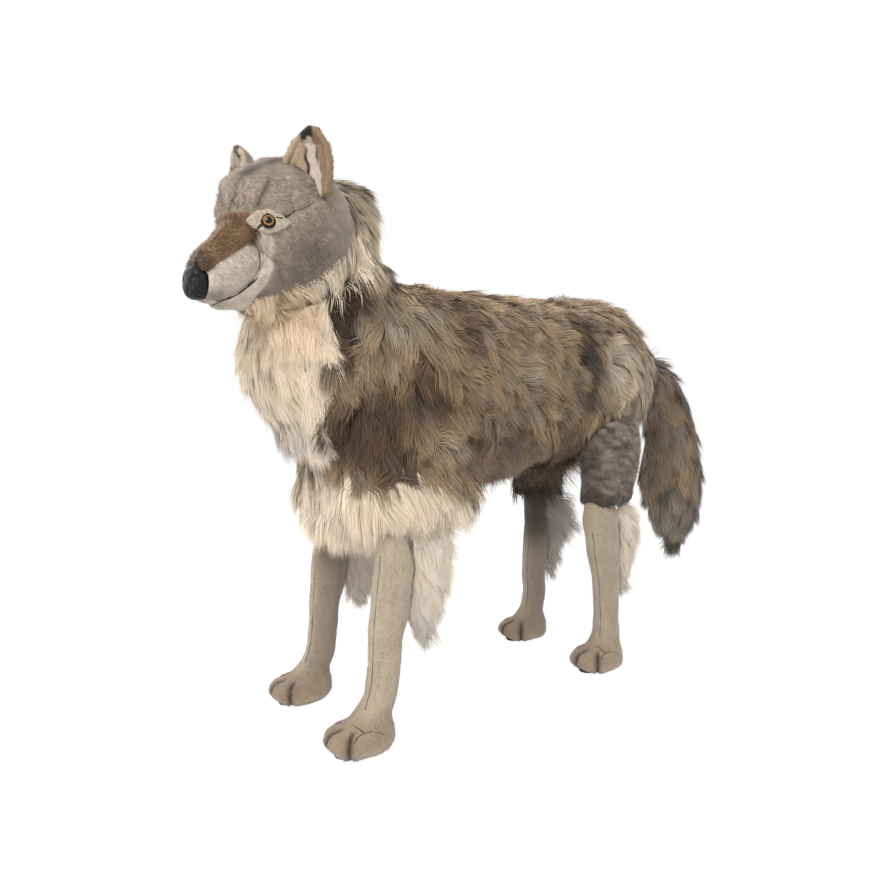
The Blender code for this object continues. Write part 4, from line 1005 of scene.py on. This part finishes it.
def lining_colour(P, N):
    """Across the cup: tan front flap, painted shade in the hollow, pale strip, brown rim."""
    H = to_head(P)
    tone = 1 + 0.05 * waves(P, 0.010, 92)
    t = across_ear(H) + waves(P, 0.02, 93) * 0.04
    colour = rgb(184, 160, 130)[None] * tone[:, None]
    # Painted shade in the hollow of the cup, darkest low down.
    pocket_shade = (ease(t, 0.34, 0.44) * fall(H[:, 2], 0.838, 0.858))[:, None]
    colour = mix(colour, rgb(66, 54, 48), pocket_shade)
    strip = ease(t, 0.50, 0.56)[:, None]
    colour = mix(colour, rgb(212, 196, 180) * tone[:, None], strip)
    edge = (bell(t, 0.90, 0.05) * ease(H[:, 2], 0.82, 0.84))[:, None]
    colour = mix(colour, rgb(52, 44, 42), edge)
    rim = ease(t, 0.94, 0.98)[:, None]
    return mix(colour, rgb(150, 120, 92), rim)


def ear_shape(side):
    """A fuller leaf with a round tip. The right ear is seen edge on and stands wider."""
    def shape(P, N):
        Q = P + N * 0.0012
        middle = np.array((Q[:, 0].mean(), Q[:, 1].mean()))
        wide = 1.06 if side > 0 else 1.25
        Q[:, :2] = middle + (Q[:, :2] - middle) * wide
        H = to_head(Q)
        if side > 0:
            H[:, 0] -= 0.0012
            H[:, 1] += 0.0008
        else:
            H[:, 2] += 0.0055 * ease(H[:, 2], 0.82, 0.86)
        return from_head(H)
    return shape


for word, side in SIDES:
    plush_piece("ear_" + word + "_plush", ("ear_" + word,), 0.0022, 0.0003, 2, ear_colour, brown_plush,
                2600, 0.0030, 350 + side, shape=ear_shape(side))
    plush_piece("ear_lining_" + word + "_plush", ("ear_lining_" + word,), 0.0017, 0.0, 1, lining_colour,
                cream_plush, 900, 0.0025, 360 + side, shape=ear_shape(side))

# Nose

leather, tree, shader = grained("black_leatherette", 0.42, 0.26, 0.0, 120.0, 3.0,
                                ((0.3, rgb(8, 8, 8)), (0.75, rgb(18, 17, 17))))
place = add(tree, "ShaderNodeTexCoord").outputs["Object"]
pores = add(tree, "ShaderNodeTexVoronoi", {"Scale": 900.0, "Vector": place}).outputs["Distance"]
bump(tree, shader, pores, 0.25, 0.0006)
nose = cloth_form("nose_leather", ("nose",), 0.0013, 0.0, 3)
P, N, _ = arrays(nose)
set_points(nose, nose_shape(P, N))
NOSTRILS = (
    ((0, 345, 664), (0, 343, 655), (0, 335, 645)),
    ((0, 346, 674), (7, 343, 664), (16, 334, 668)),
    ((7, 343, 664), (9, 339, 652), (9, 333, 645)),
)
valleys(nose, [spline(head_line(line), 5) for line in NOSTRILS], 0.0022, 0.0017)
new_piece("nose_leather", nose, leather, ("nose",))

# Lines sewn or brushed on the cloth

thread, _, _ = grained("dark_thread", 0.9, 0.1, 0.1, 1500.0, 2.0,
                       ((0.3, rgb(24, 20, 20)), (0.7, rgb(52, 44, 42))))
# Seams are strips coloured as painted shade in the seam's groove.
seam_shade_strip, _, _ = grained("seam_shade", 0.9, 0.1, 0.1, 900.0, 2.0,
                            ((0.3, rgb(84, 70, 60)), (0.7, rgb(112, 96, 84))))
lids = [bpy.data.objects["eyelid_" + word + "_plush"].data for word, _ in SIDES]
face_tree = tree_of(head, bridge, sides["left"], sides["right"], jaw, *lids)
HEAD_CORE = Vector(from_head([(0.0, 0.19, 0.74)])[0])


def smoothed(rows, reach, **padding):
    """Each column as a running mean over reach rows to either side."""
    kernel = np.ones(2 * reach + 1) / (2 * reach + 1)
    return np.stack([np.convolve(np.pad(column, reach, **padding), kernel, "valid") for column in rows.T], 1)


def faces_towards(P, F, way):
    """The faces, all turned over where the first looks away."""
    first = P[F[0]]
    return F if np.cross(first[1] - first[0], first[-1] - first[0]) @ way >= 0 else F[:, ::-1].copy()


def line_piece(name, tree, points, widths, made_of, raise_by=0.0012, steps=10, core=HEAD_CORE):
    """A narrow arched strip that follows the cloth under it."""
    path = spline(points, steps)
    hits = []
    for p in path:
        near = tree.find_nearest(Vector(p))
        out = near[1] if core is None or near[1].dot(near[0] - core) > 0 else -near[1]
        outer = tree.ray_cast(near[0] + out * 0.012, -out, 0.02)
        hits.append(outer if outer[0] is not None else near)
    centre = smoothed(np.array([hit[0] for hit in hits]), 3, mode="reflect", reflect_type="odd")
    normal = unit(smoothed(np.array([hit[1] for hit in hits]), 2, mode="edge"))
    across = unit(np.cross(unit(np.gradient(centre, axis=0)), normal))
    wide = np.interp(np.linspace(0, 1, len(path)), np.linspace(0, 1, len(widths)), widths)[:, None] / 2
    columns = [centre + across * wide * k + normal * (raise_by - abs(k) * raise_by * 0.9)
               for k in (-1, -0.4, 0.4, 1)]
    P = np.stack(columns, axis=1).reshape(-1, 3)
    F = np.array([(i * 4 + k, i * 4 + k + 1, i * 4 + k + 5, i * 4 + k + 4)
                  for i in range(len(path) - 1) for k in range(3)])
    F = faces_towards(P, F, normal[0])
    along = np.repeat(np.linspace(0.02, 0.98, len(path)), 4)
    uv = np.stack((np.tile(np.linspace(0.05, 0.95, 4), len(path)), along), axis=1)
    new_piece(name, build_mesh(name, P, F, np.repeat(normal, 4, axis=0), uv), made_of)


FACE_LINES = (
    ("lash_", LASH, (0.0012, 0.0018, 0.0036, 0.0018), thread, "black_leatherette"),
    ("tear_", TEAR, (0.0042, 0.0022, 0.0012), thread, "black_leatherette"),
    ("brow_furrow_", FURROW, (0.0004, 0.0011, 0.0008), thread, "grey_short_plush"),
    ("temple_seam_", TEMPLE, (0.0012, 0.0010, 0.0006), seam_shade_strip, "grey_short_plush"),
    ("mouth_", MOUTH, (0.0005, 0.0028, 0.0020, 0.0020, 0.0034), thread, "black_leatherette"),
    ("pad_seam_", PAD, (0.0004, 0.0009, 0.0008), seam_shade_strip, "cream_short_plush"),
)
for word, side in SIDES:
    for name, line, widths, made_of, slot in FACE_LINES:
        line_piece(name + word, face_tree, head_line(line, side), widths, made_of)

# Eyes

EYE_RADIUS = 0.0080
EYE_BULGE = 0.0050
RIM_RADIUS = 0.0010
RINGS, AROUND, RIM_SIDES = 16, 40, 8
glass, tree, shader = material("amber_eye", 0.06, 0.22, 0.0, 0.15)
iris = ramp(tree, painted(tree, "along", "Fac"), (
    (0.0, rgb(5, 4, 4)), (0.52, rgb(6, 5, 4)), (0.58, rgb(100, 62, 24)), (0.72, rgb(192, 142, 70)),
    (0.80, rgb(146, 96, 42)), (0.88, rgb(16, 10, 8))))
streaks = ramp(tree, noise(tree, 900.0, 4.0), ((0.3, (0.7, 0.7, 0.7)), (0.7, (1.15, 1.15, 1.15))))
tree.links.new(multiply(tree, iris, streaks), shader.inputs["Base Color"])
for word, side in SIDES:
    axis = unit(head_way(*np.array([(side * math.sin(EYE_TURN), math.cos(EYE_TURN), 0.10)]).T))[0]
    V = np.unique(arrays(nodes["eye_" + word].data)[0].round(6), axis=0)
    middle = V.mean(axis=0)
    seat = middle + axis * ((V @ axis).max() - EYE_BULGE - middle @ axis)
    up = unit(np.cross(axis, np.cross((0, 0, 1.0), axis)))
    across = np.cross(up, axis)
    turns = [2 * math.pi * k / AROUND for k in range(AROUND)]
    P, A = [seat + axis * EYE_BULGE], [0.0]
    for i in range(1, RINGS + 2):
        t = min(i / RINGS, 1.0) * math.pi / 2
        sink = -0.0012 if i > RINGS else 0.0
        for q in turns:
            P.append(seat + (across * math.cos(q) + up * math.sin(q)) * EYE_RADIUS * math.sin(t)
                     + axis * (EYE_BULGE * math.cos(t) + sink))
            A.append(math.sin(t))
    F = [(0, 1 + k, 1 + (k + 1) % AROUND) for k in range(AROUND)]
    for i in range(RINGS):
        for k in range(AROUND):
            a, b = 1 + i * AROUND + k, 1 + i * AROUND + (k + 1) % AROUND
            F += [(a, a + AROUND, b + AROUND), (a, b + AROUND, b)]
    P = np.array(P)
    flat = np.stack(((P - seat) @ across, (P - seat) @ up), 1) / (EYE_RADIUS * 2.3) + 0.5
    dome = build_mesh("eye_" + word, P, faces_towards(P, np.array(F), axis), None, flat, None, np.array(A))
    new_piece("eye_" + word + "_glass", dome, glass, ("eye_" + word,))
    P, F = [], []
    for k, q in enumerate(turns):
        out = across * math.cos(q) + up * math.sin(q)
        for j in range(RIM_SIDES):
            r = 2 * math.pi * j / RIM_SIDES
            P.append(seat + out * (EYE_RADIUS + 0.0006 + RIM_RADIUS * math.cos(r))
                     + axis * (0.0006 + 0.0011 * math.sin(r)))
            here, there = k * RIM_SIDES, (k + 1) % AROUND * RIM_SIDES
            F.append((here + j, there + j, there + (j + 1) % RIM_SIDES, here + (j + 1) % RIM_SIDES))
    new_piece("eye_rim_" + word, build_mesh("eye_rim_" + word, np.array(P), np.array(F)), thread)

# Legs

LEG_X = 0.106
FEET = {"foreleg": -0.3735, "hind_leg": 0.1525}
TOE_FAN = math.radians(42)
BEIGE = rgb(192, 175, 152)


def foot_frame(P, side, kind):
    u = (P[:, 0] - MIDDLE_X - side * LEG_X) * side
    v = P[:, 1] - FEET[kind]
    return u, v


def groove_share(P, side, kind, width, low=0.020, high=0.050):
    u, v = foot_frame(P, side, kind)
    share = np.zeros(len(P))
    for turn in (-TOE_FAN, 0.0, TOE_FAN):
        gap = np.abs(u * math.cos(turn) + v * math.sin(turn))
        forward = u * math.sin(turn) - v * math.cos(turn)
        share = np.maximum(share, bell(gap, 0.0, width) * ease(forward, low, low + 0.010))
    return share * fall(P[:, 2], high - 0.012, high)


def leg_colour(side, kind):
    def colour(P, N):
        z = P[:, 2]
        tone = 1 + 0.05 * waves(P, 0.05, 95) + 0.04 * waves(P, 0.015, 96)
        c = BEIGE[None] * tone[:, None] * (0.90 if kind == "hind_leg" else 1.0)
        u, _ = foot_frame(P, side, kind)
        c = mix(c, rgb(160, 138, 112), fall(z, 0.040, 0.070) * 0.6)
        c = mix(c, rgb(206, 190, 170), fall(z, 0.006, 0.022) * 0.6)
        c = mix(c, rgb(40, 32, 32), groove_share(P, side, kind, 0.0034, 0.022, 0.046))
        # Painted shade in a wider band around the toe grooves.
        c = mix(c, rgb(92, 76, 66), groove_share(P, side, kind, 0.009, 0.030, 0.044) * 0.45)
        # Painted shade on the inner side of each leg, above the sole.
        c = mix(c, rgb(140, 128, 114), ease(-u, -0.004, 0.024) * 0.65 * ease(z, 0.015, 0.07))
        # Painted shade on the top of the right hind leg, under the thigh.
        if kind == "hind_leg" and side < 0:
            c = mix(c, rgb(84, 80, 78), ease(z + 0.01 * waves(P, 0.04, 98), 0.17, 0.26) * 0.9)
        return c
    return colour


def full_end(P, centre_x, level, end):
    """Fills out the rounded end of a form, from a level to its end, to the width it has at that level."""
    Q = P.copy()
    up = 1.0 if end > level else -1.0
    beyond = (P[:, 2] - level) * up
    near = np.abs(P[:, 2] - level) < 0.008
    centre = np.array((centre_x, (P[near, 1].min() + P[near, 1].max()) / 2))
    out = P[:, :2] - centre
    radius = np.linalg.norm(out, axis=1)
    full = np.percentile(radius[near], 70)
    heights = np.linspace(0, abs(end - level), 9)
    widest = [np.percentile(radius[np.abs(beyond - h) < 0.006], 70) for h in heights]
    grow = full / np.maximum(np.interp(beyond, heights, widest), full * 0.3)
    most = np.maximum(full * 1.05 / np.maximum(radius, 1e-4), 1.0)
    grow = np.where(beyond > 0, np.minimum(grow, most), 1.0)
    Q[:, :2] = centre + out * grow[:, None]
    Q[:, 2] += np.where(beyond > 0, up * 0.003 * beyond / abs(end - level), 0.0)
    return Q


def foot_shape(side, kind):
    """Fuller heels and toes, a slimmer ankle, and the leg's own shift, on the rounded solid of a leg."""
    def shape(P, N):
        if kind == "hind_leg":
            P = full_end(P, MIDDLE_X + side * LEG_X, 0.262, P[:, 2].max())
            P[:, 2] += ease(P[:, 2], 0.270, 0.310) * 0.016
        u, v = foot_frame(P, side, kind)
        z = P[:, 2]
        heel = ease(v, -0.02, 0.02) * fall(z, 0.022, 0.040) * 0.0010
        heel += ease(np.abs(u), 0.010, 0.030) * fall(z, 0.024, 0.040) * 0.0030
        under = fall(z, 0.010, 0.024) * 0.0025
        crown = ease(z, 0.034, 0.044) * fall(z, 0.060, 0.080) * ease(-v, -0.010, 0.015)
        P = P + N * (heel + under - crown * 0.006)[:, None]
        P[:, 2] = np.maximum(P[:, 2], 0.0012)
        _, y, z = P.T  # views, so that what changes y and z moves P
        toe = ease(-v, 0.030, 0.050)
        z += toe * fall(z, 0.010, 0.024) * 0.006
        y -= toe * ease(z, 0.014, 0.024) * fall(z, 0.040, 0.050) * 0.003
        ankle = ease(z, 0.045, 0.070) * fall(z, 0.09, 0.14)
        instep = ease(z, 0.050, 0.070) * fall(z, 0.11, 0.15) * fall(v, -0.03, 0.01)
        y += ankle * 0.003 + instep * 0.009
        if kind == "foreleg":
            calf = ease(z, 0.15, 0.20) * fall(z, 0.26, 0.31)
            y += calf * ease(v, 0.020, 0.045) * 0.007 - ease(z, 0.12, 0.18) * 0.002
        elif side > 0:
            y -= ease(z, 0.05, 0.10) * 0.005
            y -= ease(z, 0.15, 0.30) * fall(v, 0.0, 0.04) * 0.026
        else:
            y += ease(z, 0.05, 0.10) * 0.003 + ease(z, 0.14, 0.24) * 0.010
        groove = groove_share(P, side, kind, 0.0030) * 0.0045
        swell = fall(z, 0.036, 0.052) * 0.0016 * ease(-foot_frame(P, side, kind)[1], 0.0, 0.03)
        Q = P + N * (swell - groove + waves(P, 0.05, 97) * 0.0007)[:, None]
        Q[:, 2] = np.maximum(Q[:, 2], FLOOR_CLEARANCE)
        return Q
    return shape


def down(P):
    return np.tile(np.array((0.0, 0.1, -1.0)), (len(P), 1))


for kind in ("foreleg", "hind_leg"):
    for word, side in SIDES:
        plush_piece(kind + "_" + word + "_plush", (kind + "_" + word,), 0.0044, 0.0006, 3,
                    leg_colour(side, kind), beige_plush, 6500, 0.0026, 400 + side,
                    flow=down, shape=foot_shape(side, kind))

# Seams down the front of the legs, as strips of painted shade, and creases over the toes

TOE_CREASES = (
    # out from the middle of the foot, back and up, in mm
    ((29.5, -10.0, 43.0), (19.5, -14.3, 47.7), (8.6, -17.8, 50.0)),
    ((31.7, -25.8, 30.7), (30.4, -20.3, 37.0), (30.2, -9.3, 41.2), (33.7, 6.1, 38.8), (33.0, 21.9, 28.7)),
)
SEAM_WAY = Vector((0.26, -0.96, 0.0))
for kind, top in (("foreleg", 0.32), ("hind_leg", 0.27)):
    for word, side in SIDES:
        leg = bpy.data.objects[kind + "_" + word + "_plush"].data
        P, _, _ = arrays(leg)
        tree = tree_of(leg)
        path = []
        for z in np.linspace(top, 0.062, 12):
            row = P[np.abs(P[:, 2] - z) < 0.006, :2]
            centre = Vector((*((row.min(axis=0) + row.max(axis=0)) / 2), z))
            path.append(tree.ray_cast(centre + SEAM_WAY * 0.12, -SEAM_WAY)[0])
        line_piece("seam_" + kind + "_" + word, tree, path, (0.0014, 0.0011, 0.0012), seam_shade_strip,
                   raise_by=0.0009, steps=3, core=None)
        for mark, points in enumerate(TOE_CREASES):
            spots = np.array(points) * (side, 1, 1) / MM + (MIDDLE_X + side * LEG_X, FEET[kind], 0.0)
            line_piece("toe_crease_%d_%s_%s" % (mark, kind, word), tree, spots,
                       (0.0016, 0.0013, 0.0010, 0.0003), thread, raise_by=0.0011,
                       steps=8, core=None)


def sole_colour(P):
    return rgb(96, 76, 62)[None] * (1 + 0.1 * waves(P, 0.01, 99))[:, None]


sole_cloth = plush_material("sole_fabric", 0.7, 1.1, 1600.0, 0.2)
for kind in ("fore", "hind"):
    for word in ("left", "right"):
        form = cloth_form(kind + "_sole_" + word + "_cloth", (kind + "_sole_" + word,), 0.0022, 0.0, 0)
        P, _, _ = arrays(form)
        P[:, 2] = np.maximum(P[:, 2], 0.0)
        set_points(form, P)
        set_tint(form, sole_colour(P))
        new_piece(kind + "_sole_" + word + "_cloth", form, sole_cloth, (kind + "_sole_" + word,))

# Thighs


def thigh_colour(P, N):
    smudge = (waves(P * np.array((1.0, 1.0, 2.4)), 0.05, 101) * 0.6
              + waves(P * np.array((1.0, 1.0, 2.0)), 0.02, 102) * 0.4)
    share = ease(smudge, -0.9, 0.9)[:, None]
    colour = rgb(94, 82, 75) * (1 - share) + rgb(158, 143, 130) * share
    colour = mix(colour, rgb(66, 56, 52), 0.5 * ease(-P[:, 1], -0.145, -0.128))
    return mix(colour, rgb(70, 60, 56), 0.5 * ease(-P[:, 2], -0.345, -0.325))


def thigh_shape(side):
    def shape(P, N):
        Q = full_end(P, MIDDLE_X + side * LEG_X, 0.362, P[:, 2].min())
        near = Q[:, 2] < 0.36
        middle = (Q[near, :2].min(axis=0) + Q[near, :2].max(axis=0)) / 2
        narrow = 1 - 0.09 * fall(Q[:, 2], 0.325, 0.40)
        Q[:, :2] = middle + (Q[:, :2] - middle) * narrow[:, None]
        return puffed(Q, N)
    return shape


for word, side in SIDES:
    plush_piece("thigh_" + word + "_plush", ("thigh_" + word,), 0.0055, 0.0016, 4, thigh_colour,
                marbled_plush, 6500, 0.0060, 420 + side, flow=down,
                shape=thigh_shape(side), blade=0.0018)

# Longer dark pile on the lower edge of the left thigh and over the right one


def dark_fur_and_shade(P):
    # Dark pile, darker still on the right thigh as painted shade.
    colour = np.where(P[:, :1] > MIDDLE_X, rgb(92, 83, 78)[None], rgb(66, 61, 58)[None])
    return colour * (1 + 0.2 * waves(P, 0.03, 105))[:, None]


for word, side, count, long, slope, top in (
        ("left", 1, 1300, 0.011, 0.1, 0.345), ("right", -1, 2800, 0.034, 0.7, 0.50)):
    form = bpy.data.objects["thigh_" + word + "_plush"].data
    roots, normals = scatter(form, count, 440 + side, lambda C, top=top: (C[:, 2] < top).astype(float))
    way = np.tile(np.array((0.0, slope, -1.0)), (count, 1))
    mesh = hair("thigh_" + word + "_pile", roots, normals, way, np.full(count, long), 0.0015, dark_fur_and_shade(roots),
                lift=0.25, clump=0.45, lock=0.012, yaw=0.25, drop=0.1, seed=441 + side)
    new_piece("thigh_" + word + "_pile", mesh, tan_pile)

# Carried-over wires and washers

steel, _, shader = grained("steel_wire", 0.35, 0.5, 0.0, 300.0, 2.0,
                           ((0.3, rgb(150, 152, 155)), (0.7, rgb(178, 180, 184))))
shader.inputs["Metallic"].default_value = 1.0
plastic, _, _ = grained("washer_plastic", 0.45, 0.5, 0.0, 200.0, 2.0,
                        ((0.3, rgb(226, 224, 218)), (0.7, rgb(238, 236, 230))))
for name, obj in nodes.items():
    if name.endswith("wire") or "washer" in name:
        obj.data.materials.clear()
        obj.data.materials.append(plastic if "washer" in name else steel)

# Floor, light and camera


def background_share(tree):
    """1 for rays that see the backdrop: straight from the camera, or in gloss or glass."""
    path = add(tree, "ShaderNodeLightPath").outputs
    share = path["Is Camera Ray"]
    for ray in ("Is Glossy Ray", "Is Transmission Ray"):
        share = add(tree, "ShaderNodeMath", {0: share, 1: path[ray]}, operation="MAXIMUM").outputs[0]
    return share


def shown(tree, kind, colour, **inputs):
    return add(tree, kind, {"Color": colour, **inputs}).outputs[0]


WHITE = (1.0, 1.0, 1.0, 1.0)
floor_mesh = bpy.data.meshes.new("floor")
made = bmesh.new()
bmesh.ops.create_circle(made, cap_ends=True, segments=64, radius=4.0)
made.to_mesh(floor_mesh)
made.free()
floor = bpy.data.objects.new("floor", floor_mesh)
floor.location = (0.0, 0.0, -0.0005)
scene.collection.objects.link(floor)
pale = bpy.data.materials.new("pale_floor")
pale.use_nodes = True
tree = pale.node_tree
tree.nodes.clear()
share = add(tree, "ShaderNodeMath", {0: background_share(tree), 1: 0.72}, operation="MULTIPLY").outputs[0]
mixed = add(tree, "ShaderNodeMixShader", {
    "Fac": share, 1: shown(tree, "ShaderNodeBsdfDiffuse", (0.86, 0.86, 0.86, 1.0)),
    2: shown(tree, "ShaderNodeEmission", WHITE, Strength=1.2)}).outputs[0]
add(tree, "ShaderNodeOutputMaterial", {"Surface": mixed})
floor_mesh.materials.append(pale)

world = bpy.data.worlds.new("studio")
scene.world = world
world.use_nodes = True
tree = world.node_tree
tree.nodes.clear()
mixed = add(tree, "ShaderNodeMixShader", {
    "Fac": background_share(tree), 1: shown(tree, "ShaderNodeBackground", WHITE, Strength=0.57),
    2: shown(tree, "ShaderNodeBackground", WHITE, Strength=1.0)}).outputs[0]
add(tree, "ShaderNodeOutputWorld", {"Surface": mixed})


def area_light(name, place, target, size, energy):
    data = bpy.data.lights.new(name, "AREA")
    data.shape = "DISK"
    data.size = size
    data.energy = energy
    lamp = bpy.data.objects.new(name, data)
    lamp.location = place
    lamp.rotation_euler = (Vector(target) - Vector(place)).to_track_quat("-Z", "Y").to_euler()
    scene.collection.objects.link(lamp)


area_light("key", (1.6, -2.0, 2.2), (0.0, -0.1, 0.5), 1.6, 59.0)
area_light("fill", (-1.8, -1.6, 1.8), (0.0, -0.1, 0.5), 2.0, 22.0)
area_light("back", (0.4, 2.2, 2.2), (0.0, 0.1, 0.5), 2.0, 28.0)

camera_data = bpy.data.cameras.new("camera")
camera_data.sensor_width = 36.0
camera_data.lens = 26.565
camera = bpy.data.objects.new("camera", camera_data)
camera.location = (0.93883, -0.82943, 0.51125)
camera.rotation_euler = (math.radians(90 - 3.26), 0.0, math.radians(54.065))
scene.collection.objects.link(camera)
scene.camera = camera
scene.view_settings.view_transform = "Standard"
